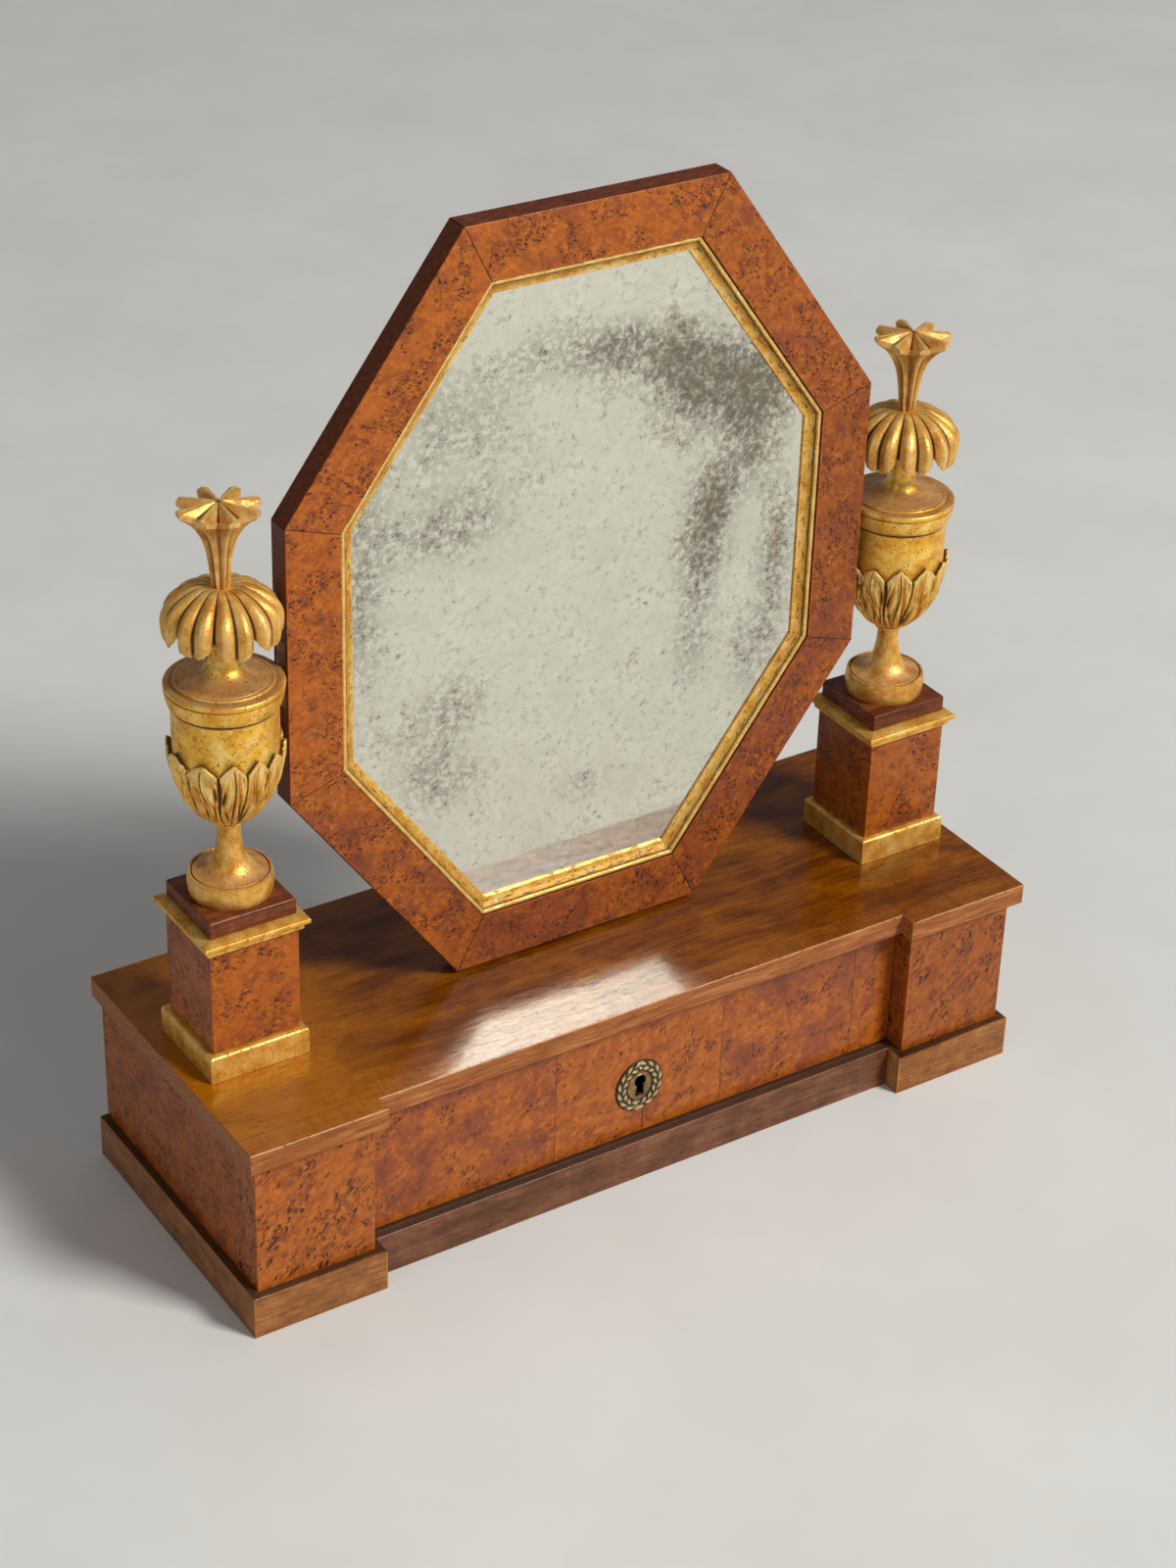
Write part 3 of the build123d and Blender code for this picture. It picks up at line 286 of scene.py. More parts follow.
def burl(name, shift, turn, glow, red, eyes, depth=0.0, core=None, seams=(), lines=None, box=None,
         pull=0.8, polish=0.2, size=1.0):
    """Burl veneer. shift and turn pick another leaf of it. glow is how golden it is, red how much
    of it is purplish, eyes how many eyes it has, and depth how dark it is. core masks the unveneered
    faces, seams are where its leaves meet, and lines masks dark lines, which on the drawer also hold
    a painted shade in the keyhole. The figure is pulled out along one direction, less where pull is
    near 1, and size is the eyes'."""
    f = Finish(name)
    at = f.place(shift, turn)
    if seams:
        across = f.split(f.place())[0]
        leaf = 0.0
        for seam, change in seams:
            past = f.band(across, seam - 0.01, seam + 0.01)
            leaf, red = past + leaf, past * change + red
        at = f.vector("MULTIPLY_ADD", f.join(leaf, leaf, leaf), (3.7, 5.3, 2.9), at)
    swirl = f.push(at, 1.6, 0.5, 3.0, 0.55)
    flow = f.stretch(f.push(swirl, 0.35, 2.2, by=at), 1.0, 1.0, pull)
    figure = f.noise(flow, 2.6, 7.0, 0.64, 0.4)
    ripple = f.noise(flow, 7.5, 4.0, 0.65)
    cloud = f.noise(f.push(at, 1.0, 1.4, 3.0), 0.34, 7.0, 0.72) + red * 0.22
    groups = f.noise(f.push(at, 0.9, 0.9), 0.5, 2.0)
    smoke = f.noise(at, 0.75, 5.0, 0.6)

    gathered = f.band(groups, 0.60 - 0.16 * eyes, 0.66 - 0.16 * eyes)
    calm = f.stretch(f.push(at, 0.8, 0.8), 1.0, 1.0, pull)
    big = commas(f, calm, 3.1 / size, 0.40, 0, 0.30, 0.34)
    small = commas(f, calm, 4.8 / size, 0.42, 1, 0.34, 0.40)
    stray = commas(f, calm, 3.6 / size, 0.34, 2, 0.80, 0.84)
    eye = (big * gathered).most(small * gathered * 0.85)
    spread = f.push(at, 0.5, 2.5)
    picked = f.band(f.split(f.cells(spread, 0.55, "Color"))[1], 0.62, 0.66)
    smudge = f.band(f.cells(spread, 0.55), 0.21, 0.09) * picked

    f.colour = f.ramp(figure,
        (0.30, (128, 58, 8)), (0.46, (156, 76, 12)),
        (0.58, (176, 92, 18)), (0.74, (200, 116, 36)))
    f.over((190, 102, 22), f.band(smoke, 0.4, 0.66) * glow * 0.5)
    f.over((208, 130, 56), f.band(ripple, 0.56, 0.74) * 0.26)
    f.over((104, 44, 12), f.band(ripple, 0.44, 0.30) * 0.4)
    f.over((126, 56, 34), f.band(cloud, 0.60, 0.66) * 0.55)
    f.over((84, 34, 22), f.band(cloud, 0.68, 0.80) * 0.55)
    f.over((88, 46, 18), f.band(smoke, 0.44, 0.28) * 0.28)
    f.over((118, 54, 18), gathered * f.band(figure, 0.56, 0.40) * 0.45)
    f.over((82, 56, 30), smudge * 0.55)
    f.over((52, 20, 6), eye * 0.92)
    f.over((66, 28, 8), stray * 0.75)
    f.over((70, 26, 4), depth)
    gloss = f.noise(at, 1.3, 4.0) * 0.2 + 0.24
    relief = figure * 0.4 - eye * 0.6 - stray * 0.4 + ripple * 0.4
    for seam, _ in seams:
        line = f.band((across - seam).size(), 0.035, 0.010)
        f.over((66, 26, 10), line * 0.6)
        relief = relief - line * 0.6
    line = lines(f) if lines else 0.0
    # dark lines, and on the drawer the keyhole's painted shade
    f.over((50, 20, 8), line * 0.75)
    if box is not None:
        rubbed = f.band(f.edge(*box) + f.noise(at, 2.5, 3.0) * 0.16, 0.22, 0.09)
        f.over((196, 104, 26), rubbed * 0.45)
        gloss = rubbed * 0.12 + gloss
    coat = polish
    if core is not None:
        bare = core(f)
        grain = f.noise(f.stretch(f.place(), 0.3, 1.0, 1.0), 5.0, 6.0, 0.62)
        plain = f.ramp(grain, (0.3, (70, 28, 8)), (0.55, (106, 48, 18)), (0.8, (144, 78, 36)))
        f.over(f.mix(plain, (12, 5, 2), line * 0.75), bare)
        coat = polish - bare * (polish * 0.75)
        gloss = bare * 0.14 + gloss
    return f.done(relief - line, 0.0004, 0.2, roughness=gloss, coat_weight=coat, coat_roughness=0.14)


# %% [markdown]
# ## Straight-grained wood
# The top board, the plinth, the caps and the carcass are cut along the grain. Noise that is
# stretched along one axis makes the streaks, and a finer one, cut off at a height, the short
# dark pores that mahogany is full of. The stretch axis follows each board's own grain.

# %% Straight-grained wood


def grain_parts(f, along, shift, wander=0.5):
    """Streaks, pores and broad bands of a board whose grain runs along an axis."""
    at = f.place(shift)
    waved = f.push(at, wander, 0.16)

    def drawn(length, width):
        """The points, as if the wood were drawn out along its grain."""
        return f.stretch(waved, *(1 / length if axis == along else 1 / width for axis in range(3)))

    bands = f.noise(drawn(9.0, 1.0), 0.9, 4.0, 0.55)
    streaks = f.noise(drawn(9.0, 0.5), 2.2, 7.0, 0.68)
    pores = f.band(f.noise(drawn(1.1, 0.05), 1.0, 2.0, 0.5), 0.60, 0.70)
    return at, bands, streaks, pores


def straight(name, along, dark, middle, light, gloss, coat, shift=(0, 0, 0), dust=0.0, box=None):
    """Plain board of three tones, glossy or dry, with dust on it if it has any."""
    f = Finish(name)
    at, bands, streaks, pores = grain_parts(f, along, shift)
    uneven = f.noise(at, 0.7, 5.0, 0.6)
    tone = bands * 0.3 + streaks * 0.35 + uneven * 0.35
    f.colour = f.ramp(tone, (0.38, dark), (0.5, middle), (0.62, light))
    f.over((*dark, 0.3), pores * 0.55)
    stain = f.band(f.noise(at, 0.6, 6.0, 0.66), 0.54, 0.7)
    f.over((*dark, 0.7), stain * 0.2)
    rough = streaks * 0.2 + (gloss - 0.1)
    if box is not None:
        rubbed = f.band(f.edge(*box) + f.noise(at, 3.0, 4.0) * 0.14, 0.2, 0.08)
        f.over((*light, 1.5), rubbed * 0.4)
        rough = rubbed * 0.1 + rough
    if dust:
        settled = f.band(f.facing()[2], 0.5, 0.9) * f.band(f.noise(at, 1.6, 6.0, 0.7), 0.22, 0.42)
        f.over((58, 36, 20), settled * dust)
        rough = settled * (0.5 * dust) + rough
    relief = streaks * 0.3 - pores * 0.7 + f.noise(at, 3.0, 3.0) * 0.3
    return f.done(relief, 0.0003, 0.2, roughness=rough, coat_weight=coat * 0.6, coat_roughness=0.14)


# %% [markdown]
# ## Top board
# The top is one board of golden mahogany under a high polish, with its front edge banded in
# paler wood. Years of dusting have rubbed the arris bright and chipped it here and there. The
# front edge steps back between the pedestals, and the distance to it follows that step.

# %% Top board's finish


def board_finish():
    """Golden straight grain, a paler front band, a bright chipped arris, and painted light on the left
    end.
    """
    f = Finish("top_board_mahogany")
    at, bands, streaks, pores = grain_parts(f, 0, (3.0, 1.0, 0.0), 0.9)
    x, y, z = f.split(f.place())
    low, high = [corner * 100 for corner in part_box("top_board")]
    inner_x, step = high.x - 9.0, 1.1        # where the ends stand forward, and by how much
    middle = f.band(x.size(), inner_x + 0.01, inner_x - 0.01)
    from_front = y - (low.y + middle * step)
    tone = bands * 0.35 + streaks * 0.45 + f.noise(at, 0.5, 4.0, 0.6) * 0.2
    flame = f.noise(f.stretch(at, 0.5, 1.0, 1.0), 0.35, 3.0, 0.5, 0.8)
    f.colour = f.ramp(tone,
        (0.32, (68, 28, 0)), (0.46, (104, 50, 0)),
        (0.56, (132, 70, 0)), (0.72, (172, 102, 8)))
    # painted light: the board's left end is painted brighter and more golden, as if more strongly lit
    f.over((208, 126, 8), f.band(x, -13.0, -21.0) * 0.42)
    f.over((178, 106, 12), f.band(flame, 0.45, 0.7) * 0.35)
    f.over((56, 22, 0), f.band(flame, 0.46, 0.3) * 0.3)
    f.over((46, 18, 2), pores * 0.6)
    band_edge = f.band(from_front, 1.66, 1.62)
    crossgrain = f.noise(f.stretch(at, 3.0, 0.4, 3.0), 2.2, 5.0, 0.6)
    banding = f.ramp(crossgrain, (0.35, (122, 64, 20)), (0.62, (178, 106, 42)))
    f.over(banding, band_edge * 0.3)
    line = f.band((from_front - 1.64).size(), 0.04, 0.015)
    f.over((74, 36, 18), line * 0.6)
    upright = f.band(f.facing()[2].size(), 0.7, 0.3)
    edge_wood = f.ramp(streaks, (0.32, (116, 60, 26)), (0.52, (166, 98, 50)), (0.7, (200, 134, 82)))
    f.over(edge_wood, upright * 0.85)
    near = from_front.size().most((z - high.z).size())
    chips = f.band(f.noise(at, 3.4, 5.0, 0.7), 0.6, 0.66)
    arris = f.band(near + f.noise(at, 4.0, 3.0) * 0.08, 0.16, 0.07)
    f.over((222, 160, 106), arris * 0.6)
    nicked = f.band(near, 0.3, 0.12) * chips
    f.over((58, 28, 14), nicked * 0.8)
    marks = f.band(f.cells(at, 0.62), 0.1, 0.05) * f.band(f.noise(at, 0.7, 2.0), 0.5, 0.6)
    f.over((48, 24, 12), marks * 0.7)
    smears = f.noise(f.stretch(at, 0.6, 1.0, 1.0), 0.8, 6.0, 0.65)
    rough = smears * 0.16 + nicked * 0.2 + 0.14
    wavy = f.noise(f.stretch(at, 0.5, 1.0, 1.0), 1.6, 4.0, 0.6)
    relief = streaks * 0.25 - pores * 0.6 - nicked * 2.0 - marks + wavy * 0.9
    coat = upright * -0.17 + 0.26
    return f.done(relief, 0.0003, 0.15, roughness=rough, coat_weight=coat, coat_roughness=0.15)


# %% [markdown]
# ## Gilding
# The urns and mouldings are carved wood under gesso, red clay called bole, and beaten gold
# leaf. Hands and cloths have worn the gold from the ridges down to the clay, and dirt has
# settled in the hollows. The carved pieces carry two numbers at their points, hollow and
# ridge, worked out from the same formulas as their shape, and the finish reads them. The
# hollows are darkened for that dirt and as painted shade, and the ridges lightened for the
# wear and as a painted highlight.

# %% Gilding


def gilding(name, shift, bronze, specks, box=None, tops=0.0):
    """Water gilding. bronze browns all of it, tops the faces that look up, and specks mottle it. tops also
    paints those faces lighter, a painted highlight.
    """
    f = Finish(name)
    at = f.place(shift)
    hollow, ridge = f.mark("hollow"), f.mark("ridge")
    patch = f.noise(at, 0.9, 6.0, 0.62)
    mottle = f.noise(f.push(at, 0.2, 3.0), 4.2, 6.0, 0.7)
    fine = f.noise(at, 16.0, 4.0, 0.7)
    gold = f.ramp(patch,
        (0.34, (230, 160, 50)), (0.5, (252, 196, 78)), (0.66, (255, 222, 126)))
    brown = f.ramp(patch,
        (0.34, (166, 106, 50)), (0.5, (206, 146, 80)), (0.66, (234, 182, 114)))
    upwards = f.facing()[2]
    browned = f.band(upwards, 0.55, 0.9) * tops + bronze
    f.colour = f.mix(gold, brown, browned)
    # painted highlight: faces that look up are painted lighter and pinker, as if lit from above
    f.over((226, 166, 106), f.band(upwards, 0.6, 0.95) * (tops * 0.5))
    bole = f.band(mottle + ridge * 0.1, 0.60, 0.70)
    red_patch = f.band(f.noise(at, 0.8, 5.0, 0.64), 0.54 - 0.035 * specks, 0.63)
    red_patch = red_patch * f.band(mottle, 0.42, 0.56)
    if box is not None:
        worn = f.band(f.edge(*box) + mottle * 0.2, 0.26, 0.12)
        bole = bole.most(f.band(mottle, 0.56, 0.64) * worn)
        f.over((250, 204, 124), worn * 0.4)
    bole = bole.most(red_patch * 0.75)
    f.over((182, 92, 34), bole * 0.66)
    speck = f.band(mottle * 0.5 + fine * 0.5, 0.575 - 0.04 * specks, 0.63) * specks
    pin = f.band(f.cells(f.push(at, 0.14, 6.0), 4.6), 0.28, 0.12) * f.band(f.noise(at, 1.4), 0.42, 0.54)
    f.over((104, 60, 20), (speck * 0.75).most(pin * 0.95 * specks))
    # dirt and painted shade: the hollows are darkened, as if shade lay in them
    dirt_and_shade = f.band(hollow + patch * 0.3 - 0.15, 0.12, 0.75)
    f.over((54, 26, 6), dirt_and_shade * 0.88)
    # wear and painted highlight: the ridges are lightened, as if they caught the light
    f.over((255, 226, 150), ridge * 0.5)
    scratch = f.band(f.noise(f.stretch(at, 0.7, 0.7, 5.0), 4.0, 5.0, 0.7), 0.58, 0.66) * specks
    f.over((150, 88, 30), scratch * 0.35)
    metal = (1 - bole * 0.7) * (1 - dirt_and_shade * 0.85) * (1 - speck * 0.6) * (0.64 - browned * 0.26)
    rough = mottle * 0.16 + bole * 0.16 + dirt_and_shade * 0.3 + (0.26 + 0.12 * bronze)
    relief = mottle * 0.6 + fine * 0.12 - bole * 0.4 - pin * 0.7
    return f.done(relief, 0.0003, 0.3, metallic=metal, roughness=rough)


# %% [markdown]
# ## Brass
# The escutcheon is a stamped brass plate gone dull and greenish, bright only where fingers
# and the key have touched it. The lock, its bolt and the pivot plates are plain brass.

# %% Brass


def brass(name, age):
    """Brass between polished and dull, dark in its hollows and bright on its ridges."""
    f = Finish(name)
    at = f.place()
    hollow, ridge = f.mark("hollow"), f.mark("ridge")
    patina = f.noise(at, 3.0, 6.0, 0.65)
    fine = f.noise(f.stretch(at, 1.0, 1.0, 4.0), 14.0, 4.0, 0.6)
    f.colour = f.ramp(patina,
        (0.3, (104, 84, 48)), (0.5, (150, 122, 76)), (0.72, (190, 160, 110)))
    f.over((120, 110, 78), f.band(fine, 0.5, 0.7) * 0.5 * age)
    f.over((34, 22, 10), f.band(hollow, 0.15, 0.75) * 0.95)
    f.over((244, 222, 172), f.band(ridge, 0.25, 0.9) * 0.6)
    metal = 0.85 - f.band(hollow, 0.2, 0.9) * 0.6 - f.band(patina, 0.5, 0.8) * 0.2 * age
    rough = patina * 0.3 + fine * 0.1 + 0.2
    return f.done(patina * 0.5 + fine * 0.5, 0.0002, metallic=metal, roughness=rough)


# %% [markdown]
# ## Looking glass
# The plate is old: its tin has crept away from the edges and in clouds, leaving grey specks
# and brown stains, and what silver is left has gone milky. The clouds' places are a few soft
# round areas given in a list, and noise of several sizes breaks them up into specks.

# %% Looking glass's finish


def foxed_glass():
    """Milky mirror. Clouds are soft discs added up, and noise in them is cut off into specks."""
    f = Finish("looking_glass")
    low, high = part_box("mirror_glass")
    middle = (low + high) * 50
    at = f.place()
    x, _, z = f.split(at)
    x, z = x - middle.x, z - middle.z
    # across, up, half width, half height, strength
    clouds = [(-15.6, 6.0, 3.2, 14.0, 0.8), (-8.5, 13.2, 4.5, 3.5, 0.5), (-5.4, 8.4, 5.0, 4.5, 0.3),
              (-11.0, 9.5, 4.0, 5.0, 0.25), (-9.2, 5.6, 4.6, 3.2, 0.55), (-8.4, -5.8, 2.8, 2.6, 0.6),
              (-9.0, -10.4, 3.2, 2.8, 0.65), (-11.6, -7.5, 3.0, 5.0, 0.4), (0.4, -13.7, 3.4, 1.6, 0.4),
              (8.4, 11.2, 5.0, 4.6, 1.15), (12.6, 9.0, 3.2, 4.4, 0.9), (3.4, 14.0, 5.0, 2.8, 0.8),
              (-1.5, 15.2, 6.0, 2.2, 0.6), (10.0, 4.6, 3.8, 3.2, 0.8), (8.6, 0.4, 2.8, 4.2, 0.95),
              (8.2, -5.6, 2.2, 4.6, 0.65), (14.0, -1.5, 1.8, 7.5, 0.8), (12.4, -8.2, 2.4, 4.0, 0.6)]
    decay = 0.0
    for across, up, half_width, half_height, depth in clouds:
        beside = f.join((x - across) * (1 / half_width), (z - up) * (1 / half_height))
        decay = f.band(f.vector("LENGTH", beside, out="Value"), 1.3, 0.1) * depth + decay
    decay = decay.least(1.1)
    wide = f.noise(at, 0.4, 6.0, 0.66)
    cluster = f.noise(f.push(at, 0.6, 1.6, 3.0), 2.2, 7.0, 0.72)
    lace = f.noise(f.push(at, 0.2, 6.0), 10.5, 5.0, 0.74)
    grit = f.noise(at, 22.0, 3.0, 0.72)
    soft_cloud = f.band(decay * 0.3 + cluster * 0.6 + wide * 0.4, 0.62, 0.98)
    smoke = f.band(cluster * 0.7 + wide * 0.3 + decay * 0.10 + (lace - 0.5) * 0.3, 0.48, 0.66)
    gathered = f.band(cluster * 1.25 + decay * 0.16 + (wide - 0.5) * 0.3, 0.68, 0.92)
    veins = f.band((cluster - 0.5).size() - decay * 0.02, 0.035, 0.0) * f.band(decay + wide, 0.55, 1.0)
    flecks = f.band(lace + gathered * 0.15, 0.55, 0.70) * (gathered * 0.97 + 0.03)
    peppered = f.band(grit + gathered * 0.15 + (lace - 0.5) * 0.8, 0.60, 0.74) * (gathered * 0.95 + 0.05)
    stain = f.band(wide + decay * 0.12 + (cluster - 0.5) * 0.3, 0.6, 0.76) * f.band(x, 0.0, 8.0)
    f.colour = f.ramp(wide, (0.3, (202, 199, 182)), (0.7, (222, 219, 204)))
    f.over((166, 160, 142), smoke * 0.6)
    f.over((140, 134, 118), veins * 0.4)
    f.over((134, 127, 108), soft_cloud * 0.7)
    f.over((150, 122, 86), stain * 0.55)
    deep = f.band(decay * 0.5 + cluster * 0.7 + lace * 0.25, 0.78, 1.08) * f.band(x, -4.0, 5.0)
    f.over((98, 86, 64), deep * 0.6)
    f.over((92, 86, 72), flecks * 0.65)
    f.over((50, 44, 36), peppered * 0.8)
    metal = 0.9 - soft_cloud * 0.25 - flecks * 0.4 - peppered * 0.3 - stain * 0.2
    rough = wide * 0.06 + soft_cloud * 0.12 + flecks * 0.3 + peppered * 0.2 + 0.03
    return f.done(flecks * 0.1 + wide * 0.2, 0.0001, metallic=metal, roughness=rough,
                  coat_weight=0.5, coat_roughness=0.02)


# %% [markdown]
# ## Pieces with eased edges
# No edge of the real box is as sharp as a CAD edge. A copy of the node gets its loose
# triangles merged, its flat faces joined again and a narrow bevel, so that every arris
# catches a line of light. The copy replaces the node, and stays exactly where it is.

# %% Ease a node's edges

SHARP = math.radians(32)      # edges that turn by more than this are rounded, the others are smooth


def dress(piece, material):
    """Makes a material the only one of a piece."""
    piece.data.materials.clear()
    piece.data.materials.append(material)


def finish_piece(piece, node, material):
    """Gives a piece its material, and lets it ride with and stand for a CAD node."""
    dress(piece, material)
    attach(piece, frame["nodes"][node]["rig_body"])
    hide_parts(node)


def eased(node, width, material):
    """Copy of a CAD node with its edges rounded to a width in millimetres."""
    work = bmesh.new()
    work.from_mesh(frame["nodes"][node].data)
    bmesh.ops.remove_doubles(work, verts=work.verts, dist=0.002 * MM)
    bmesh.ops.dissolve_limit(work, angle_limit=math.radians(0.5), verts=work.verts, edges=work.edges)
    mesh = bpy.data.meshes.new("eased_" + node)
    work.to_mesh(mesh)
    work.free()
    mesh.shade_smooth()
    mesh.set_sharp_from_angle(angle=SHARP)
    piece = bpy.data.objects.new("eased_" + node, mesh)
    bpy.context.scene.collection.objects.link(piece)
    bevel = piece.modifiers.new("Eased edges", "BEVEL")
    bevel.width, bevel.segments = width * MM, 2
    bevel.limit_method, bevel.angle_limit = "ANGLE", SHARP
    bevel.use_clamp_overlap = False
    even = piece.modifiers.new("Even shading", "WEIGHTED_NORMAL")
    even.keep_sharp = False
    finish_piece(piece, node, material)


def bare_but(axis, way):
    """Mask of the faces that don't look along an axis. Its way is 1 or -1, or 0 for both ways."""
    def core(f):
        facing = f.facing()[axis]
        facing = facing.size() if way == 0 else facing * way
        return f.band(facing, 0.75, 0.55)
    return core


# %% [markdown]
# ## The case
# End blocks and sides are burl on a plain core. The drawer front is veneered on its face
# only, in four leaves whose joints show as fine upright lines. Inside, the carcass and the
# drawer are plain wood, so a table of their tones and grain is enough for them.

# %% Dress the case

eased("top_board", 0.7, board_finish())
for number, side in enumerate(("left", "right")):
    node = f"{side}_end_block"
    eased(node, 0.5, burl(
        node, (4.0 + 11 * number, 2.0, 7.0), -0.7, 1.0, 0.1 + 0.25 * number, 0.88, 0.2 * number,
        box=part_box(node), pull=0.5, polish=0.26, size=1.4))
    node = f"case_{side}_side"
    eased(node, 0.5, burl(node, (21.0 + 9 * number, 5.0, 3.0), 0.7, 0.5, 0.5, 0.5, core=bare_but(0, 0)))


def drawer_lines_and_keyhole_shade(f):
    """Mask of a crack under the escutcheon, of a let-in patch at the left, and of a painted shade in the
    keyhole.
    """
    x, _, z = f.split(f.place())
    stray = f.noise(f.place(), 2.5, 2.0) * 0.14 - 0.07
    crack = f.band((x - 0.35 + stray).size(), 0.05, 0.012) * f.band(z, 5.0, 4.7)
    patch = (x + 17.4).size().most((z - 4.4).size())
    # painted shade: the drawer front is painted dark behind the escutcheon's keyhole
    keyhole = f.band(x.size().most((z - 6.5).size()), 1.2, 1.1) * 1.3
    return crack.most(f.band((patch - 0.5).size(), 0.04, 0.01) * 0.5).most(keyhole)


drawer_seams = ((-6.1, -0.6), (6.2, 0.6), (16.4, -0.2))     # where, and how the redness changes there
eased("drawer_front", 0.4, burl(
    "drawer_front", (1.5, 0.0, 4.0), -0.9, 0.5, 0.6, 0.3, core=bare_but(1, -1), seams=drawer_seams,
    lines=drawer_lines_and_keyhole_shade, box=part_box("drawer_front"), pull=0.55, polish=0.34))

pine = ((112, 82, 50), (150, 114, 72), (182, 146, 98))
oak = ((132, 96, 58), (168, 128, 82), (196, 158, 108))
plinth_tones = ((110, 62, 26), (150, 92, 42), (182, 122, 62))
rail_tones = ((80, 44, 24), (110, 66, 40), (140, 90, 58))
cap_tones = ((68, 26, 8), (106, 48, 18), (144, 80, 38))

# node, axis of its grain, easing, tones, shift, gloss, coat and dust
boards = [
    ("front_rail", 0, 0.4, rail_tones, (2, 8, 4), 0.45, 0.1, 0.9),
    ("case_back", 0, 0.4, pine, (7, 3, 1), 0.6, 0.0, 0.4),
    ("case_floor", 0, 0.4, pine, (7, 3, 1), 0.6, 0.0, 0.4),
    ("left_drawer_guide", 1, 0.4, pine, (0, 0, 0), 0.6, 0.0, 0.0),
    ("right_drawer_guide", 1, 0.4, pine, (0, 0, 0), 0.6, 0.0, 0.0),
    ("drawer_stops", 0, 0.4, oak, (0, 0, 0), 0.6, 0.0, 0.0),
    ("drawer_floor", 0, 0.3, oak, (0, 2, 6), 0.55, 0.0, 0.0),
    ("drawer_back", 0, 0.3, oak, (0, 2, 6), 0.55, 0.0, 0.0),
    ("drawer_left_side", 1, 0.3, oak, (5, 2, 6), 0.55, 0.0, 0.0),
    ("drawer_right_side", 1, 0.3, oak, (5, 2, 6), 0.55, 0.0, 0.0),
]
for node, along, ease, tones, shift, gloss, coat, dust in boards:
    eased(node, ease, straight(node, along, *tones, shift=shift, gloss=gloss, coat=coat, dust=dust))
for member, along, tones in (("left_side", 1, plinth_tones), ("right_side", 1, plinth_tones),
                             ("left_front", 0, plinth_tones), ("right_front", 0, plinth_tones),
                             ("centre", 0, rail_tones)):
    node = f"plinth_{member}"
    eased(node, 0.4, straight(node, along, *tones, shift=(5, 2 * along, 9), gloss=0.36,
                              coat=0.25, dust=0.85, box=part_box(node)))

# %% [markdown]
# ## Pedestals
# Each pedestal is four square members: a gilt base, a burl shaft, a gilt cornice and a dark
# mahogany cap. They are small, so their edges are eased by half a millimetre at most.

# %% Dress the pedestals

cap_wood = straight("cap_mahogany", 0, *cap_tones, gloss=0.34, coat=0.2)
for number, side in enumerate(("left", "right")):
    for member in ("base", "cornice"):
        node = f"{side}_pedestal_{member}"
        eased(node, 0.4, gilding(node, (number * 7.0, 3.0, 1.0), 0.35, 0.8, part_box(node)))
    node = f"{side}_pedestal_shaft"
    eased(node, 0.5, burl(node, (33.0 + 8 * number, 8.0, 2.0), 0.9, 1.0, 0.3, 0.7, 0.14 * number,
                          box=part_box(node), size=1.15))
    eased(f"{side}_pedestal_cap", 0.5, cap_wood)

# %% [markdown]
# ## The mirror's frame
# Eight lengths of wood are mitred into the octagon, and each has its own leaf of burl, so the
# figure jumps at every mitre. The outer edges and the back show the plain wood under it.

# %% Dress the frame

FRAME_WIDTH = 35.0            # from the octagon's outer edge to the slip


def octagon(inset):
    """Corners of the frame's octagon moved in by a distance, anticlockwise from lower right."""
    low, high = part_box("frame_right")
    right = high.x / MM - inset
    side_half = (high.z - low.z) / 2 / MM
    low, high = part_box("frame_top")
    middle = (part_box("frame_bottom")[0].z + high.z) / 2 / MM
    top = high.z / MM - middle - inset
    top_half = (high.x - low.x) / 2 / MM
    run, rise = right + inset - top_half, top + inset - side_half
    slant = math.hypot(run, rise)
    line = (rise * top_half + run * (top + inset)) / slant - inset
    corner_z, corner_x = (line * slant - rise * right) / run, (line * slant - run * top) / rise
    upper = [(right, corner_z), (corner_x, top), (-corner_x, top), (-right, corner_z)]
    corners = [(right, -corner_z), *upper, (-right, -corner_z), (-corner_x, -top), (corner_x, -top)]
    return np.array([(a, middle + b) for a, b in corners])


def mitres(f):
    """Mask of the eight mitre lines: near the line through an outer and an inner corner."""
    x, _, z = f.split(f.place())
    mask = 0.0
    for (x0, z0), (x1, z1) in zip(octagon(0.0) * 0.1, octagon(FRAME_WIDTH) * 0.1):
        span = math.hypot(x1 - x0, z1 - z0)
        off = ((x - x0) * ((z1 - z0) / span) - (z - z0) * ((x1 - x0) / span)).size()
        near = (x - (x0 + x1) / 2).size().most((z - (z0 + z1) / 2).size())
        mask = f.band(off, 0.04, 0.012) * f.band(near, 3.2, 3.0) + mask
    return mask


# how red each length is, how much it glows and how dark it is
LENGTHS = {
    "right": (0.5, 0.2, 0.22), "upper_right": (0.35, 0.5, 0.1), "top": (0.3, 0.7, 0.0),
    "upper_left": (0.1, 0.8, 0.0), "left": (0.1, 0.9, 0.0), "lower_left": (0.45, 0.3, 0.04),
    "bottom": (0.6, 0.3, 0.12), "lower_right": (0.6, 0.2, 0.16)}
for number, (length, (red, glow, depth)) in enumerate(LENGTHS.items()):
    node = f"frame_{length}"
    shift = (5.0 * number, 3.0 + 2.0 * number, 13.0 - number)
    eased(node, 0.22, burl(node, shift, 0.35 * number, glow, red, 0.85, depth, bare_but(1, -1),
                           lines=mitres, box=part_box(node)))
eased("backboard", 0.3, straight("backboard", 2, *pine, shift=(3, 3, 9), gloss=0.65, coat=0.0))
dress(frame["nodes"]["mirror_glass"], foxed_glass())

